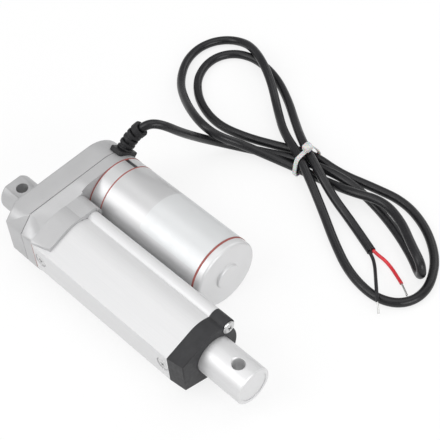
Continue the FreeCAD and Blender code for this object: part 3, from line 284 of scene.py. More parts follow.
def drawn(name, colour, metallic, roughness, depth=0.000006):
    """Metal with fine straight lines along X, as an extrusion or a ground bar has."""
    along = (0.012, 1, 1)
    made = Nodes(name).surface(Metallic=metallic)
    lines = made.noise(0.0004, 5, 0.6, along)
    made.tint(made.spread(lines, 0, 1), scaled(colour, 0.975), scaled(colour, 1.015))
    made.roughen(made.noise(0.0025, 4, 0.5, along), roughness - 0.06, roughness + 0.06)
    made.bump(lines, depth)
    return made.material


def moulded(name, colour, roughness, grain=0.0004, depth=0.00002, gloss=0.45):
    """Plastic or rubber with a fine moulded grain and uneven gloss."""
    made = Nodes(name).surface(Metallic=0.0, Specular_IOR_Level=gloss)
    made.tint(made.spread(made.noise(0.006, 5), 0, 1), scaled(colour, 0.88), scaled(colour, 1.15))
    made.roughen(made.noise(0.002, 5), roughness - 0.07, roughness + 0.08)
    made.bump(made.noise(grain, 3), depth)
    return made.material


def turned_metal(name, colour, roughness, centre):
    """Metal with fine rings about an axis along X, as a lathe leaves."""
    made = Nodes(name).surface(Metallic=1.0)
    wave = made.add("ShaderNodeTexWave", wave_type="RINGS", rings_direction="X")
    wave.inputs["Scale"].default_value = 900
    wave.inputs["Distortion"].default_value = 0.6
    wave.inputs["Detail"].default_value = 2
    shift = made.add("ShaderNodeMapping")
    shift.inputs["Location"].default_value = tuple(-part for part in centre)
    made.link(made.place, shift.inputs["Vector"])
    made.link(shift.outputs["Vector"], wave.inputs["Vector"])
    made.tint(wave.outputs["Fac"], scaled(colour, 0.96), scaled(colour, 1.03))
    made.roughen(made.noise(0.002, 4), roughness - 0.05, roughness + 0.05)
    made.bump(wave.outputs["Fac"], 0.000003)
    return made.material


def laminated():
    """Stacked sheet steel."""
    made = Nodes("laminations").surface(Metallic=0.9)
    wave = made.add("ShaderNodeTexWave", wave_type="BANDS", bands_direction="X")
    wave.inputs["Scale"].default_value = 600
    made.link(made.place, wave.inputs["Vector"])
    made.tint(wave.outputs["Fac"], (0.16, 0.16, 0.17), (0.33, 0.33, 0.34))
    made.roughen(made.noise(0.002), 0.35, 0.5)
    made.bump(wave.outputs["Fac"], 0.00004)
    return made.material


def wound():
    """Enamelled copper wire, wound round and round."""
    made = Nodes("enamelled_copper").surface(Metallic=0.9, Coat_Weight=0.5)
    wave = made.add("ShaderNodeTexWave", wave_type="BANDS", bands_direction="DIAGONAL")
    wave.inputs["Scale"].default_value = 420
    wave.inputs["Distortion"].default_value = 1.5
    made.link(made.place, wave.inputs["Vector"])
    made.tint(wave.outputs["Fac"], (0.33, 0.10, 0.03), (0.72, 0.32, 0.12))
    made.roughen(made.noise(0.002), 0.25, 0.4)
    made.bump(wave.outputs["Fac"], 0.00012)
    return made.material


def nylon():
    """Translucent white plastic."""
    made = Nodes("tie_nylon").surface(Metallic=0.0, Specular_IOR_Level=0.5, Subsurface_Weight=0.35,
                                      Subsurface_Scale=0.0015, Transmission_Weight=0.12)
    made.tint(made.spread(made.noise(0.003, 3), 0, 1), (0.62, 0.63, 0.62), (0.70, 0.70, 0.69))
    made.roughen(made.noise(0.001, 3), 0.28, 0.42)
    made.bump(made.noise(0.0012, 2), 0.00002)
    return made.material


def label_film():
    """Pale satin film with a faint cool tone."""
    made = Nodes("label_film").surface(Metallic=0.35, Coat_Weight=0.15, Coat_Roughness=0.3)
    made.tint(made.spread(made.noise(0.02, 4), 0, 1), (0.655, 0.667, 0.674), (0.69, 0.699, 0.706))
    made.roughen(made.noise(0.004, 4), 0.36, 0.48)
    made.bump(made.noise(0.0025, 3), 0.000012)
    return made.material


cast = painted("cast_paint", (0.49, 0.49, 0.495), metallic=0.45, roughness=0.45, grain=0.0006, depth=0.00003)
profile = drawn("anodised_profile", (0.67, 0.67, 0.675), metallic=0.3, roughness=0.48, depth=0.000002)
motor_paint = painted("motor_paint", (0.62, 0.62, 0.625), metallic=0.55, roughness=0.38, grain=0.0012,
                      depth=0.000001, uneven=0.02)
motor_cap_paint = painted("motor_cap_paint", (0.665, 0.665, 0.67), metallic=0.45, roughness=0.42,
                          grain=0.0012, depth=0.000001, uneven=0.02)
cap_plastic = moulded("cap_plastic", (0.033, 0.033, 0.035), roughness=0.5, grain=0.0005, depth=0.00003,
                      gloss=0.24)
gasket_red = moulded("gasket_red", (0.30, 0.08, 0.07), roughness=0.6)
rod_metal = drawn("rod_metal", (0.69, 0.69, 0.695), metallic=0.55, roughness=0.5, depth=0.000003)
chrome = painted("screw_plating", (0.62, 0.62, 0.62), metallic=1.0, roughness=0.24, grain=0.001,
                 depth=0.000003)
boot_rubber = moulded("boot_rubber", (0.014, 0.014, 0.0155), roughness=0.48, depth=0.00003, gloss=0.3)
jacket = moulded("cable_jacket", (0.010, 0.010, 0.0115), roughness=0.3, grain=0.0007, depth=0.00001,
                 gloss=0.36)
red_skin = moulded("red_insulation", (0.62, 0.018, 0.03), roughness=0.34, grain=0.001, depth=0.000006)
black_skin = moulded("black_insulation", (0.012, 0.012, 0.014), roughness=0.34, grain=0.001, depth=0.000006,
                     gloss=0.3)
tinned = drawn("tinned_copper", (0.72, 0.72, 0.71), metallic=1.0, roughness=0.3)
steel = turned_metal("machined_steel", (0.56, 0.56, 0.58), roughness=0.3, centre=(0, 0, 0))
# Dark metal of the bar that paints the shade in the gear ring's slot.
slot_shade_dark = drawn("slot_shade_dark", (0.10, 0.10, 0.105), metallic=0.8, roughness=0.4)
ground = drawn("ground_steel", (0.6, 0.6, 0.62), metallic=1.0, roughness=0.25)
acetal = moulded("acetal", (0.72, 0.70, 0.62), roughness=0.42, grain=0.001, depth=0.000008)
bronze = painted("bush_bronze", (0.55, 0.36, 0.14), metallic=1.0, roughness=0.4, grain=0.0003, depth=0.00002)
bar_copper = turned_metal("commutator_copper", (0.62, 0.30, 0.14), roughness=0.3, centre=(0, MOTOR_Y, 0))
seal = moulded("seal_rubber", (0.02, 0.02, 0.021), roughness=0.6)
magnet = moulded("ferrite", (0.06, 0.06, 0.065), roughness=0.65, grain=0.0003, depth=0.00004)
board = moulded("circuit_board", (0.02, 0.16, 0.055), roughness=0.35, grain=0.0008, depth=0.00001)
switch_black = moulded("switch_plastic", (0.02, 0.02, 0.022), roughness=0.4)
laminations = laminated()
copper_wire = wound()
tie_nylon = nylon()
film = label_film()

FINISHES = {
    cast: ["rear_cover", "gear_case"],
    profile: ["tube_profile"],
    cap_plastic: ["front_cap"],
    motor_paint: ["motor_shell", "ring_gear"],
    motor_cap_paint: ["motor_end_cap"],
    gasket_red: ["gasket_case", "gasket_ring", "gasket_end"],
    rod_metal: ["push_tube", "rod_end"],
    chrome: ["housing_screws", "cap_screws", "side_screws"],
    boot_rubber: ["strain_relief"],
    jacket: ["cable"],
    red_skin: ["red_lead"],
    black_skin: ["black_lead"],
    tinned: ["lead_tips"],
    tie_nylon: ["cable_tie"],
    steel: ["sun_gear", "planet_carrier", "planet_pins", "output_pinion", "screw_gear", "idler_pin",
            "bearing_retainer"],
    ground: ["lead_screw", "armature_shaft", "bearing_inner_ring", "bearing_outer_ring", "bearing_balls"],
    acetal: ["planet_gear_1", "planet_gear_2", "planet_gear_3", "idler_gear", "brush_plate", "lead_nut"],
    bronze: ["screw_rear_bush", "output_rear_bush", "output_front_bush", "motor_front_bush",
             "motor_rear_bush", "rod_guide"],
    bar_copper: ["commutator"],
    copper_wire: ["armature_windings"],
    magnet: ["motor_magnets", "brushes"],
    seal: ["rod_seal"],
    laminations: ["armature_core"],
    board: ["switch_board"],
    switch_black: ["limit_switches"],
}
for material, names in FINISHES.items():
    for name in names:
        slots = nodes[name].material_slots
        if not slots:
            nodes[name].data.materials.append(material)
        for slot in slots:
            slot.material = material


# Housing halves, cap and profile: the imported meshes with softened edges. Sizes in millimetres.

CASE_TOP = 18.9
CASE_SIDE = 20.1
SIDE_HALF = 10.3
FLAT_EDGE = -12.0
CASE_FRONT = 31.4
SEAM_HALF = 0.24
SEAM_DEPTH = 0.8
SADDLE = 17.0
SADDLE_TURN = math.radians(109)
SADDLE_END = 43.0
ROOF = 16.5
ROOF_START = 4.1
ROOF_END = 10.6
ROOF_FOOT = ROOF - 2.5
ROOF_OUTLINE = [(ROOF_START, ROOF_FOOT), (ROOF_START, ROOF - 0.01), (ROOF_START + 0.2, ROOF),
                (ROOF_END, ROOF), (ROOF_END + 0.5, ROOF - 0.02), (ROOF_END + 0.5, ROOF_FOOT)]
SLOPE = Vector((SIDE_HALF - CASE_TOP, CASE_SIDE + FLAT_EDGE)).normalized()
CLOSE = 0.03
SAME_PLANE = 0.005

# The front of the gear case draws down from a little past the seam, and fades out towards the motor.
DRAW_START = SEAM / MM + 0.6
DRAW_CURVE = 1.2
FADE_END = 20.0
FADE_WIDTH = 7.0
DRAW_ROWS = [DRAW_START + 0.97 * k for k in range(8)]
DRAW_COLUMNS = [-19 + 1.5 * k for k in range(27)]

TUBE_SIDE = 20.06
SIDE_SCREWS = (36.4, 124.7)
SEAT_SINK = 0.1

# The cutter for a screw's seat is turned from this outline, in metres.
SEAT = [(ON_AXIS, -0.001), (0.0039, -0.001), (0.0039, 0.001), (ON_AXIS, 0.001)]


def case_height(y):
    """Half height of the housing's outline, in millimetres."""
    if y >= FLAT_EDGE:
        return CASE_TOP
    return CASE_TOP + (y - FLAT_EDGE) * (CASE_TOP - SIDE_HALF) / (CASE_SIDE + FLAT_EDGE)


def saddle_height(y):
    """Half height of the saddle, with its flat roof over the screw ports."""
    if y < SADDLE * math.cos(SADDLE_TURN):
        return (SADDLE - y * math.cos(SADDLE_TURN)) / math.sin(SADDLE_TURN)
    return math.sqrt(SADDLE ** 2 - y ** 2) if y < ROOF_START else ROOF


def front_height(x, y):
    """Half height of the gear case, which draws down from the seam to the saddle."""
    share = min(1.0, max(0.0, (x - DRAW_START) / (CASE_FRONT - DRAW_START))) ** DRAW_CURVE
    near = min(1.0, max(0.0, (FADE_END - y) / FADE_WIDTH))
    near = near * near * (3 - 2 * near)
    full = case_height(y)
    return full - max(0.0, full - saddle_height(y)) * share * near


def outline_normal(y, z):
    """Direction out of the housing's outline at a point of it, or None elsewhere."""
    side = math.copysign(1, z)
    found = Vector((0, 0))
    away = Vector((y - MOTOR_Y / MM, z))
    if away.x > 0:
        return away.normalized() if abs(away.length - CASE_TOP) < CLOSE else None
    if y > FLAT_EDGE - CLOSE and abs(abs(z) - CASE_TOP) < CLOSE:
        found += Vector((0, side))
    if y < FLAT_EDGE + CLOSE and abs(SLOPE.dot(Vector((y - FLAT_EDGE, abs(z) - CASE_TOP)))) < CLOSE:
        found += Vector((SLOPE.x, SLOPE.y * side))
    if abs(y + CASE_SIDE) < CLOSE and abs(z) < SIDE_HALF + CLOSE:
        found += Vector((-1, 0))
    return found.normalized() if found.length > 0.1 else None


def shape_of(name):
    """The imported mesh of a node, to be worked on."""
    mesh = applied(nodes[name])
    mesh.transform(nodes[name].matrix_world)
    shape = bmesh.new()
    shape.from_mesh(mesh)
    bmesh.ops.remove_doubles(shape, verts=shape.verts, dist=1e-7)
    return shape


def cut_across(shape, axis, places):
    """New edges where planes across an axis meet the mesh."""
    normal = Vector([float(axis == k) for k in range(3)])
    for place in places:
        geom = shape.verts[:] + shape.edges[:] + shape.faces[:]
        bmesh.ops.bisect_plane(shape, geom=geom, plane_co=normal * place * MM, plane_no=normal, dist=1e-7)


def put_back(shape, name, material, sharp=30):
    """The worked mesh takes the place of its node."""
    bmesh.ops.dissolve_degenerate(shape, dist=1e-6, edges=shape.edges[:])
    mesh = mesh_from(shape, name + "_shape")
    soften(mesh, sharp)
    item = add_object(name + "_shape", mesh, material)
    weighted = item.modifiers.new("flat_faces", "WEIGHTED_NORMAL")
    weighted.keep_sharp = True
    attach(item, "housing")
    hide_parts(name)


def add_prism(shape, outline, start, end):
    """A closed prism along X is added to a mesh."""
    rows = [[shape.verts.new(mm(x, y, z)) for y, z in outline] for x in (start, end)]
    count = len(outline)
    faces = [shape.faces.new(rows[0][::-1]), shape.faces.new(rows[1])]
    for k in range(count):
        ahead = (k + 1) % count
        faces.append(shape.faces.new((rows[0][k], rows[0][ahead], rows[1][ahead], rows[1][k])))
    bmesh.ops.recalc_face_normals(shape, faces=faces)


def housing_half(name, side):
    """A casting with its half of the seam's groove, and the gear case with its drawn down front."""
    shape = shape_of(name)
    seam = SEAM / MM
    cut_across(shape, 0, [seam + side * SEAM_HALF])
    if side > 0:
        cut_across(shape, 0, DRAW_ROWS)
        cut_across(shape, 1, DRAW_COLUMNS)
    for vertex in shape.verts:
        x, y, z = vertex.co / MM
        normal = outline_normal(y, z)
        if abs(x - seam) < SAME_PLANE and normal:
            vertex.co -= Vector((0, normal.x, normal.y)) * SEAM_DEPTH * MM
        elif side > 0 and x > seam + SEAM_HALF:
            vertex.co.z = math.copysign(min(abs(z), front_height(x, y)), z) * MM
    if side > 0:
        for up in (1, -1):
            roof = [(y, z * up) for y, z in ROOF_OUTLINE]
            add_prism(shape, roof, CASE_FRONT - 0.4, SADDLE_END - 0.02)
    put_back(shape, name, cast, 24)


def eased(name, width, material):
    """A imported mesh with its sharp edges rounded."""
    shape = shape_of(name)
    bmesh.ops.dissolve_limit(shape, angle_limit=math.radians(0.5), verts=shape.verts[:], edges=shape.edges[:])
    sharp = [edge for edge in shape.edges
             if len(edge.link_faces) == 2 and edge.calc_face_angle() > math.radians(35)]
    bmesh.ops.bevel(shape, geom=sharp, offset=width * MM, segments=3, profile=0.5, affect="EDGES",
                    clamp_overlap=True)
    put_back(shape, name, material, 40)


def side_recesses():
    """The profile with a shallow round seat for each side screw."""
    item = add_object("profile_cut", mesh_from(shape_of("tube_profile"), "profile_cut"))
    cutters = []
    for x in SIDE_SCREWS:
        mesh = mesh_of("seat", *lathe(SEAT), 30)
        mesh.transform(facing((0, -1, 0), mm(x, SEAT_SINK - TUBE_SIDE, 0)))
        cutters.append(add_object("seat", mesh))
        carve(item, cutters[-1])
    mesh = applied(item)
    for used in [item] + cutters:
        bpy.data.objects.remove(used)
    shape = bmesh.new()
    shape.from_mesh(mesh)
    put_back(shape, "tube_profile", profile)


housing_half("rear_cover", -1)
housing_half("gear_case", 1)
eased("front_cap", 0.5, cap_plastic)
side_recesses()


# Motor end cap with its round boss, and the three gaskets

def turned_piece(name, outline, material):
    """An outline of (radius, place along X) turned about the motor's axis takes the place of a node."""
    mesh = mesh_of(name + "_shape", *lathe([(radius * MM, x * MM) for radius, x in outline], 128), 30)
    mesh.transform(facing((1, 0, 0), Vector((0, MOTOR_Y, 0))))
    item = add_object(name + "_shape", mesh, material)
    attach(item, "housing")
    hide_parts(name)


def quarter(radius, x, size):
    """Points of a rounded corner that ends facing forward."""
    turns = [math.radians(15 * k) for k in range(7)]
    return [(radius - size + size * math.cos(turn), x - size + size * math.sin(turn)) for turn in turns]


END_FACE = 110.45
END_RADIUS = 18.7
BOSS_RADIUS = 6.8
BOSS_FACE = END_FACE + 1.6
END_CAP = ([(15.7, 101.05), (17.2, 101.05), (17.2, 106.0), (END_RADIUS, 106.0)]
           + quarter(END_RADIUS, END_FACE, 1.5)
           + [(7.3, END_FACE), (7.0, END_FACE + 0.1), (6.85, END_FACE + 0.35)]
           + quarter(BOSS_RADIUS, BOSS_FACE, 0.8) + [(ON_AXIS / MM, BOSS_FACE + 0.05)])
turned_piece("motor_end_cap", END_CAP, motor_cap_paint)

SHELL_RADIUS = 18.8
GASKET_RADIUS = 18.9
GASKET_BORE = 17.3
GASKET_EDGE = 0.12
GASKETS = (("gasket_case", 31.1, 0.38), ("gasket_ring", 39.25, 0.38), ("gasket_end", 105.75, 0.55))
for name, middle, half in GASKETS:
    back, front = middle - half, middle + half
    ring = [(GASKET_BORE, back), (SHELL_RADIUS, back), (GASKET_RADIUS, back + GASKET_EDGE),
            (GASKET_RADIUS, front - GASKET_EDGE), (SHELL_RADIUS, front), (GASKET_BORE, front)]
    turned_piece(name, ring, gasket_red)


# Dark bar that paints the shade at the bottom of the gear ring's slot, and the edge of the gasket behind the
# profile

def small_prism(name, outline, start, end, material, turn=0.0, centre_y=0.0):
    """A small bar along X, turned about an axis along X."""
    shape = bmesh.new()
    add_prism(shape, outline, start, end)
    mesh = mesh_from(shape, name)
    mesh.transform(Matrix.Translation(mm(0, centre_y, 0)) @ Matrix.Rotation(turn, 4, "X"))
    item = add_object(name, mesh, material)
    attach(item, "housing")


# Painted shade: a dark bar at the bottom of the gear ring's slot darkens the slot as shade would.
SLOT_SHADE_BAR = [(17.95, -1.25), (18.5, -1.25), (18.5, 1.25), (17.95, 1.25)]
SLOT_SHADE_TURN = math.radians(62)
GASKET_SIDE = [(-20.09, -9.0), (-19.6, -9.0), (-19.6, 9.0), (-20.09, 9.0)]
small_prism("ring_slot_shade", SLOT_SHADE_BAR, 31.5, 38.85, slot_shade_dark, SLOT_SHADE_TURN, MOTOR_Y / MM)
small_prism("profile_gasket", GASKET_SIDE, CASE_FRONT - 0.05, CASE_FRONT + 0.6, gasket_red)


# Screws with cross recesses

def cross_recess(reach, depth):
    """Tapered cross that a driver's tip fits."""
    points, faces = [], []
    half = reach * 0.2
    ends = ((depth * 0.6, 1.0, 1.0), (-depth, 0.45, 0.6))
    for turn in (0, math.pi / 2):
        first = len(points)
        for height, long_share, wide_share in ends:
            for u, v in ((-reach, -half), (reach, -half), (reach, half), (-reach, half)):
                u *= long_share
                v *= wide_share
                x = u * math.cos(turn) - v * math.sin(turn)
                y = u * math.sin(turn) + v * math.cos(turn)
                points.append((x, y, height))
        low, top = [first + 4 + k for k in range(4)], [first + k for k in range(4)]
        faces += [top, low[::-1]] + [(top[k], low[k], low[(k + 1) % 4], top[(k + 1) % 4]) for k in range(4)]
    return points, faces


def screw_head(radius, height, crown, recess, depth):
    """Round head with its top at the origin and its cross recess cut in."""
    outline = [(ON_AXIS, -height), (radius * 0.96, -height), (radius, -height + 0.00012),
               (radius, -crown - 0.00015)]
    steps = 6
    for k in range(steps):
        share = k / steps
        angle = share * math.pi / 2
        reach = radius * (1 - 0.12 * share) * math.cos(angle) ** 0.55
        outline.append((reach, -crown + crown * math.sin(angle)))
    outline.append((ON_AXIS, 0.0))
    head = add_object("head", mesh_of("head", *lathe(outline, 40), 30))
    cutter = add_object("cutter", mesh_of("cutter", *cross_recess(recess, depth), 10))
    carve(head, cutter).use_self = True
    mesh = applied(head)
    for used in (head, cutter):
        bpy.data.objects.remove(used)
    soften(mesh, 30)
    return mesh


def screws(name, places, direction, turns, head):
    """Copies of a head at several places, each turned a little differently."""
    meshes = []
    for place, turn in zip(places, turns):
        mesh = head.copy()
        mesh.transform(facing(direction, place) @ Matrix.Rotation(turn, 4, "Z"))
        meshes.append(mesh)
    item = joined(name + "_heads", meshes, chrome)
    soften(item.data, 30)
    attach(item, "housing")
    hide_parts(name)


PORT = 10.6
CASE_SCREWS = [mm(11.6, y, z) for y, z in ((-14, 11.5), (-14, -11.5), (40.3, 13.7), (40.3, -13.7))]
cap_head = screw_head(radius=0.0035, height=0.0020, crown=0.0008, recess=0.0020, depth=0.0013)
screws("cap_screws", [mm(139.1, PORT, z) for z in (-PORT, PORT)], (1, 0, 0), (0.5, 0.95), cap_head)
side_head = screw_head(radius=0.0036, height=0.0009, crown=0.0005, recess=0.0019, depth=0.0008)
screws("side_screws", [mm(x, -TUBE_SIDE - 0.03, 0) for x in SIDE_SCREWS], (0, -1, 0), (0.3, 1.0), side_head)
case_head = screw_head(radius=0.0029, height=0.0017, crown=0.0005, recess=0.0017, depth=0.0011)
screws("housing_screws", CASE_SCREWS, (-1, 0, 0), (0.2, 0.9, 1.3, 0.6), case_head)


# Strain relief: flange, neck and boot of slotted rings

LEAN = math.radians(47)
OUTWARD = Vector((0, math.cos(LEAN), math.sin(LEAN)))
FORWARD = Vector((1, 0, 0))
SIDEWAYS = Vector((0, -math.sin(LEAN), math.cos(LEAN)))
BOOT_LENGTH = 0.015
BOOT_BEND = math.radians(31)
BEND_RADIUS = BOOT_LENGTH / BOOT_BEND
BOOT_FOOT = Vector((SEAM, MOTOR_Y, 0)) + OUTWARD * 0.0204
BOOT_STEPS = 96

# Sizes in millimetres. A ring has its start, end and radius, and a row of the mouth its radius and place.
RINGS = [(0.0, 1.3, 4.2), (2.5, 4.3, 4.15), (5.5, 7.3, 4.1), (8.5, 10.3, 4.05), (11.5, 15.0, 4.25)]
RING_DROP = 0.3
RING_EASE = 0.35
CORE_RADIUS = 2.6
BRIDGE_REACH = 1.1
BRIDGE_EDGE = 0.66
BRIDGE_RISE = 0.10
MOUTH = ((3.0, 15.0), (2.42, 14.6), (2.42, 13.0))
FLANGE_HALF = (4, 7)
CORNER_RADIUS = 1.5
FLANGE_CORNERS = ((2.5, 5.5, 0), (-2.5, 5.5, 90), (-2.5, -5.5, 180), (2.5, -5.5, 270))
FLANGE_ROWS = ((-2.5, 0.25), (-2.25, 0.0), (-0.35, 0.0), (-0.1, 0.12), (0.0, 0.4))


def boot_point(along, turn, radius):
    """A point of the bent boot, from the distance along its middle and the way round it."""
    bend = along / BEND_RADIUS
    centre = (BOOT_FOOT + OUTWARD * (BEND_RADIUS * math.sin(bend))
              + FORWARD * (BEND_RADIUS * (1 - math.cos(bend))))
    across = FORWARD * math.cos(bend) - OUTWARD * math.sin(bend)
    return centre + (across * math.cos(turn) + SIDEWAYS * math.sin(turn)) * radius


def boot_radius(along, turn):
    """Radius of the boot in millimetres: rings, and between them a core with two bridges."""
    for start, end, radius in RINGS:
        if start <= along <= end:
            edge = min(along - start, end - along)
            return radius - RING_DROP * max(0.0, 1 - edge / RING_EASE) ** 2
    gap = sum(1 for ring in RINGS if ring[1] < along)
    bridge = abs(math.cos(turn + (gap % 2) * math.pi / 2))
    return CORE_RADIUS + BRIDGE_REACH * min(1.0, max(0.0, (bridge - BRIDGE_EDGE) / BRIDGE_RISE))


def boot():
    """The bent boot with its rings and its open mouth."""
    rows = []
    for start, end, _ in RINGS:
        rows += [start, start + 0.1, start + 0.25, (start + end) / 2, end - 0.25, end - 0.1, end]
        rows += [end + 0.02, end + 0.6, end + 1.18] if end < RINGS[-1][1] else []
    turns = [2 * math.pi * k / BOOT_STEPS for k in range(BOOT_STEPS)]
    points = []
    for along in rows:
        points += [boot_point(along * MM, turn, boot_radius(along, turn) * MM) for turn in turns]
    for radius, along in MOUTH:
        points += [boot_point(along * MM, turn, radius * MM) for turn in turns]
    return mesh_of("boot", points, banded(len(rows) + len(MOUTH), BOOT_STEPS), 38)


def flange():
    """The plate with rounded corners at the foot of the boot."""
    outline = []
    for u, v, first in FLANGE_CORNERS:
        for k in range(7):
            angle = math.radians(first + 15 * k)
            outline.append((u + CORNER_RADIUS * math.cos(angle), v + CORNER_RADIUS * math.sin(angle)))
    points = []
    for height, inset in FLANGE_ROWS:
        shrink_u, shrink_v = (1 - inset / half for half in FLANGE_HALF)
        for u, v in outline:
            points.append(BOOT_FOOT + FORWARD * (u * shrink_u * MM) + SIDEWAYS * (v * shrink_v * MM)
                          + OUTWARD * (height * MM))
    size = len(outline)
    faces = banded(len(FLANGE_ROWS), size)
    faces.append(tuple(range(size - 1, -1, -1)))
    faces.append(tuple(range(len(points) - size, len(points))))
    return mesh_of("flange", points, faces, 30)


def strain_relief():
    """Boot and flange as one piece."""
    item = joined("boot_and_flange", [boot(), flange()], boot_rubber)
    soften(item.data, 38)
    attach(item, "housing")
    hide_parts("strain_relief")


strain_relief()


# Cable, leads and tie

CABLE_START = [(28.0, 59.4, 25.4), (29.5, 61.1, 27.2)]
CABLE_ROUTE = [
    (32, 64.5, 27.5), (35, 68.8, 24.6), (36.8, 76.7, 14.5), (35.1, 88.7, -0.6), (37, 99.4, -11.5),
    (43.3, 106.7, -16.2), (57.1, 113.7, -16.5), (74.8, 121.7, -15.3), (92.2, 125.5, -13.7),
    (108.1, 127.3, -13.5), (124.9, 126.5, -16.5), (143.6, 121.3, -16.5), (161.1, 113.8, -16.5),
    (170.9, 107.7, -16.5), (173.6, 106.2, -11.1), (170.9, 107.7, -5.7), (161.3, 112.7, -6),
    (145.9, 122.4, -8), (130.8, 126.3, -8.8), (114.7, 120.7, -9.7), (98.6, 121.4, -16.2),
    (80.9, 117.3, -15.3), (63.1, 111.9, -13.4), (49.4, 106.4, -10.2), (40.4, 97.8, -3.1),
    (31.5, 96.5, -0.6), (19.4, 100.2, -3.2), (3.5, 108.2, -9.4), (-11.7, 118.5, -15.1),
    (-22.1, 131.8, -16.5), (-25.1, 143.6, -16.5), (-23.2, 153.4, -16.5), (-18.3, 160.5, -16.5),
    (-11.1, 164.4, -15.7), (-0.6, 163.8, -12.4), (13.9, 157.8, -9.0), (28.6, 150.2, -10.4),
    (44.1, 139.3, -14.8), (59.4, 128.2, -11.9), (76.7, 120.7, -8.5), (93.8, 112.4, -10.8),
    (110.4, 104, -15), (126.8, 94.5, -16.5), (143.9, 85.9, -16.5), (160.4, 82.8, -16.5),
    (170.7, 85.3, -16.5), (176.9, 90.7, -16.5), (179.6, 98.5, -16.5), (178, 108.4, -16.5),
    (169.8, 121.6, -16.5), (154.2, 132.7, -16.5), (135.6, 138.1, -16.5), (116.7, 134.6, -16.5),
    (98.1, 130.1, -16.5), (79, 129.4, -14.9), (61.2, 122.4, -16.2), (43.5, 115.3, -16.5),
    (24.9, 111.3, -16.5), (6.7, 116.1, -16.5), (-6.2, 125.9, -16.5), (-11.7, 136.3, -16.5),
    (-12.4, 145.5, -16.5), (-9.3, 153.1, -16.5), (-2.9, 158.6, -16.5), (7.8, 161.3, -16.5),
    (24.5, 158.4, -16.5), (41.6, 149.9, -16.1), (57.2, 139.1, -13.8), (72.5, 128.5, -8.7),
    (89.8, 120.4, -8.3), (107.2, 113.8, -12.4), (125.3, 109.8, -16.5), (143.8, 103, -16.5)]
RED_ROUTE = [(144.16, 103.99, -16.5), (147.4, 103.6, -16.8), (151.9, 103.9, -17.5), (157.5, 102.7, -17.9),
             (163.5, 100.1, -17.3), (168.3, 97.4, -15.4)]
BLACK_ROUTE = [(143.44, 102.01, -16.5), (146.8, 100.7, -16.9), (150.8, 97.6, -16.9), (155.1, 93.2, -15.2),
               (159.0, 89.0, -12.6), (162.4, 85.5, -11.3), (165.6, 82.2, -11.3), (168.2, 79.7, -12.6)]
RED_TIP = [(168.3, 97.4, -15.4), (172.0, 94.9, -13.2), (176.2, 92.2, -12.7)]
BLACK_TIP = [(168.2, 79.7, -12.6), (170.0, 78.2, -14.2), (171.6, 76.9, -16.2)]


CABLE_RADIUS = 0.0024
LEAD_RADIUS = 0.0009


def curve_along(name, points, radius, material=None):
    """A smooth round line whose control points are the route's points."""
    data = bpy.data.curves.new(name, "CURVE")
    data.dimensions = "3D"
    data.resolution_u = 10
    data.bevel_depth = radius
    data.bevel_resolution = 6
    data.use_fill_caps = True
    spline = data.splines.new("NURBS")
    spline.points.add(len(points) - 1)
    for control, point in zip(spline.points, points):
        control.co = (*mm(*point), 1)
    spline.order_u = 3
    spline.use_endpoint_u = True
    return add_object(name, data, material)


def line_of(points):
    """The points of the smooth line that a route's control points give."""
    item = curve_along("line", points, 0.0)
    mesh = applied(item)
    line = [vertex.co.copy() for vertex in mesh.vertices]
    bpy.data.objects.remove(item)
    return line


cable = curve_along("cable_jacket", CABLE_START + CABLE_ROUTE, CABLE_RADIUS, jacket)
red_lead = curve_along("red_insulation", RED_ROUTE, LEAD_RADIUS, red_skin)
black_lead = curve_along("black_insulation", BLACK_ROUTE, LEAD_RADIUS, black_skin)

OUTER_STRANDS = 6
STRAND_RADIUS = 0.00017
LAY_RADIUS = 0.00034
LAY_TURN = 0.22
FRAY = 0.25


def strands():
    """Tinned strands at the end of each lead, twisted round one in the middle."""
    meshes = []
    for route in (RED_TIP, BLACK_TIP):
        line = line_of(route)
        for k in range(OUTER_STRANDS + 1):
            start = 2 * math.pi * k / OUTER_STRANDS
            reach = LAY_RADIUS if k < OUTER_STRANDS else 0.0
            path = []
            for j, here in enumerate(line):
                along = (line[min(j + 1, len(line) - 1)] - line[max(j - 1, 0)]).normalized()
                side = (Vector((0, 0, 1)) - along * along.z).normalized()
                up = along.cross(side)
                turn = start + j * LAY_TURN
                loose = 1 + FRAY * (j / len(line)) ** 4
                path.append(here + (side * math.cos(turn) + up * math.sin(turn)) * reach * loose)
            meshes.append(mesh_of("strand", *swept(path, circle(STRAND_RADIUS, 8)), 60))
    return joined("strands", meshes, tinned)


tips = strands()

TIE_PLACE = 0.0808
TIE_OUTLINE = [(115.3, -17.75), (130.6, -17.75), (132.0, -16.6), (132.0, -13.9), (128.2, -7.3),
               (126.4, -5.95), (117.6, -6.2), (115.7, -7.5), (114.1, -13.5), (114.1, -16.6)]
TIE_LIFT = 0.0005

# The head of the tie and the stub of its tail: size, corner, steps of the corner, and place.
TIE_BLOCKS = (((0.0046, 0.0046, 0.0038), 0.0011, 5, (TIE_PLACE, 0.1239, -0.0037)),
              ((0.0029, 0.0016, 0.0012), 0.0003, 3, (TIE_PLACE, 0.1253, -0.0022)))


def rounded_box(size, corner, steps):
    """Box with rounded edges, centred on the origin."""
    shape = bmesh.new()
    bmesh.ops.create_cube(shape, size=1.0)
    bmesh.ops.scale(shape, vec=size, verts=shape.verts)
    bmesh.ops.bevel(shape, geom=shape.edges[:], offset=corner, segments=steps, profile=0.5, affect="EDGES")
    return mesh_from(shape, "box")


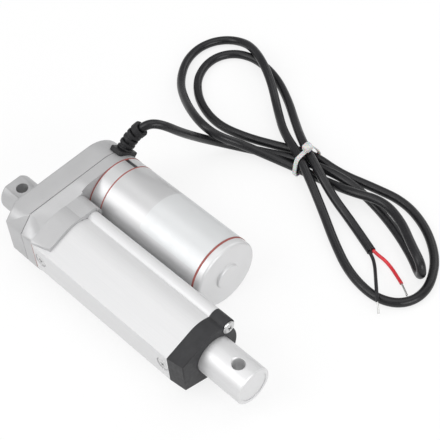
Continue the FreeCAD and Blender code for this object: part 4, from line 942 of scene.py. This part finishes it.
def tie():
    """Band round the strands, its rounded head and the stub of its cut tail."""
    corners = [Vector((TIE_PLACE, y * MM, z * MM)) for y, z in TIE_OUTLINE]
    path = []
    count = len(corners)
    for k, corner in enumerate(corners):
        back = (corner + corners[k - 1]) / 2
        ahead = (corner + corners[(k + 1) % count]) / 2
        for j in range(8):
            share = j / 8
            path.append(back * (1 - share) ** 2 + corner * (2 * share * (1 - share)) + ahead * share ** 2)
    centre = sum(path, Vector()) / len(path)
    path = [here + (here - centre).normalized() * TIE_LIFT for here in path]
    half, thick, soft = 0.0012, 0.0004, 0.00018
    band = [(half - soft, -thick), (half, -thick + soft), (half, thick - soft), (half - soft, thick),
            (soft - half, thick), (-half, thick - soft), (-half, soft - thick), (soft - half, -thick)]
    meshes = [mesh_of("band", *swept(path, band, closed=True, across=Vector((1, 0, 0))), 40)]
    for size, corner, steps, place in TIE_BLOCKS:
        block = rounded_box(size, corner, steps)
        block.transform(Matrix.Translation(place))
        meshes.append(block)
    item = joined("tie_band_and_head", meshes, tie_nylon)
    soften(item.data, 35)
    return item


tie_piece = tie()
soft_pieces = ((cable, "cable", "cable_jacket"), (red_lead, "red_lead", "red_insulation"),
               (black_lead, "black_lead", "black_insulation"), (tips, "lead_tips", "tinned_copper"),
               (tie_piece, "cable_tie", "tie_plastic"))
for piece, node, slot in soft_pieces:
    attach(piece, "housing")
    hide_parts(node)


# Film wrapped round the motor shell

def wrap():
    """Thin film round the shell, with rounded corners at its open ends."""
    start, end, reach = 65.4, 104.9, 18.812
    first, span, corner = -100, 240, 1.2
    rows, steps = 40, 120
    points, faces = [], []
    for j in range(rows + 1):
        x = start + (end - start) * j / rows
        for k in range(steps + 1):
            share = k / steps
            edge = min(share, 1 - share) * math.radians(span) * reach
            inset = corner - math.sqrt(max(0.0, corner ** 2 - max(0.0, corner - edge) ** 2))
            here = min(max(x, start + inset), end - inset)
            turn = math.radians(first + span * share)
            points.append((here * MM, MOTOR_Y + reach * math.cos(turn) * MM, reach * math.sin(turn) * MM))
    for j in range(rows):
        for k in range(steps):
            a = j * (steps + 1) + k
            faces.append((a, a + 1, a + steps + 2, a + steps + 1))
    mesh = mesh_of("motor_wrap", points, faces, 60)
    faces_at = Counter(key for face in mesh.polygons for key in face.edge_keys)
    for edge in mesh.edges:
        edge.use_edge_sharp = faces_at[edge.key] == 1
    item = add_object("motor_wrap", mesh, film)
    solid = item.modifiers.new("thickness", "SOLIDIFY")
    solid.thickness = 0.00002
    solid.offset = 0
    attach(item, "housing")


wrap()


# Floor, light and camera

FLOOR_GLOW = 0.78


def floor():
    """White floor that looks brighter to the camera and in reflections than it lights."""
    made = Nodes("floor_white").surface(Roughness=0.7, Specular_IOR_Level=0.2)
    made.tint(made.spread(made.noise(0.4, 2), 0, 1), (0.86, 0.86, 0.86), (0.88, 0.88, 0.88))
    path = made.add("ShaderNodeLightPath").outputs
    glow = made.add("ShaderNodeEmission")
    glow.inputs["Color"].default_value = (1, 1, 1, 1)
    glow.inputs["Strength"].default_value = 1.0
    seen = made.add("ShaderNodeMath", operation="MAXIMUM")
    made.link(path["Is Camera Ray"], seen.inputs[0])
    made.link(path["Is Glossy Ray"], seen.inputs[1])
    share = made.add("ShaderNodeMath", operation="MULTIPLY")
    share.inputs[1].default_value = FLOOR_GLOW
    made.link(seen.outputs[0], share.inputs[0])
    mixed = made.add("ShaderNodeMixShader")
    made.link(share.outputs[0], mixed.inputs["Fac"])
    made.link(made.shader.outputs["BSDF"], mixed.inputs[1])
    made.link(glow.outputs["Emission"], mixed.inputs[2])
    made.link(mixed.outputs["Shader"], made.tree.nodes["Material Output"].inputs["Surface"])
    shape = bmesh.new()
    bmesh.ops.create_circle(shape, cap_ends=True, radius=3.0, segments=96)
    item = add_object("floor", mesh_from(shape, "floor"), made.material)
    item.location.z = FLOOR - 0.00002


def area_light(name, place, aim, size, power):
    """Rectangular lamp that looks at a point."""
    lamp = bpy.data.lights.new(name, "AREA")
    lamp.shape = "RECTANGLE"
    lamp.size, lamp.size_y = size
    lamp.energy = power
    item = add_object(name, lamp)
    item.location = place
    item.rotation_euler = (Vector(aim) - Vector(place)).to_track_quat("-Z", "Y").to_euler()


def world():
    """Soft even light, with a plain white background for the camera."""
    sky = bpy.data.worlds.new("studio")
    bpy.context.scene.world = sky
    sky.use_nodes = True
    tree = sky.node_tree
    soft = tree.nodes["Background"]
    soft.inputs["Color"].default_value = (1, 1, 1, 1)
    soft.inputs["Strength"].default_value = 0.5
    bright = tree.nodes.new("ShaderNodeBackground")
    bright.inputs["Color"].default_value = (1, 1, 1, 1)
    bright.inputs["Strength"].default_value = 1.0
    path = tree.nodes.new("ShaderNodeLightPath").outputs
    seen = tree.nodes.new("ShaderNodeMath")
    seen.operation = "MAXIMUM"
    tree.links.new(path["Is Camera Ray"], seen.inputs[0])
    tree.links.new(path["Is Transmission Ray"], seen.inputs[1])
    mixed = tree.nodes.new("ShaderNodeMixShader")
    tree.links.new(seen.outputs[0], mixed.inputs["Fac"])
    tree.links.new(soft.outputs["Background"], mixed.inputs[1])
    tree.links.new(bright.outputs["Background"], mixed.inputs[2])
    tree.links.new(mixed.outputs["Shader"], tree.nodes["World Output"].inputs["Surface"])


CAMERA_PLACE = (0.41397, -0.21489, 0.53354)
SENSOR = 36
LENS = 112.46


def camera():
    """The view of the photograph."""
    data = bpy.data.cameras.new("photo_view")
    data.sensor_width = SENSOR
    data.lens = LENS
    data.clip_start = 0.01
    item = add_object("photo_view", data)
    right = Vector((0.6995, 0.7113, -0.0698))
    up = Vector((-0.5270, 0.5793, 0.6219))
    back = Vector((0.4828, -0.3982, 0.7800))
    turn = Matrix((right, up, back)).transposed().to_4x4()
    item.matrix_world = Matrix.Translation(CAMERA_PLACE) @ turn
    bpy.context.scene.camera = item


floor()
world()
area_light("key", (-0.35, -0.85, 0.85), (0.07, 0.03, 0), (0.9, 0.9), 7.0)
area_light("top", (0.0, 0.15, 1.15), (0.07, 0.05, 0), (1.1, 1.1), 4.2)
area_light("rim", (0.2, 0.9, 0.5), (0.07, 0.05, 0), (0.8, 0.5), 1.8)
area_light("fill", (1.1, -0.1, 0.45), (0.1, 0.03, 0), (0.8, 0.6), 5.2)
camera()
bpy.context.scene.view_settings.view_transform = "Standard"
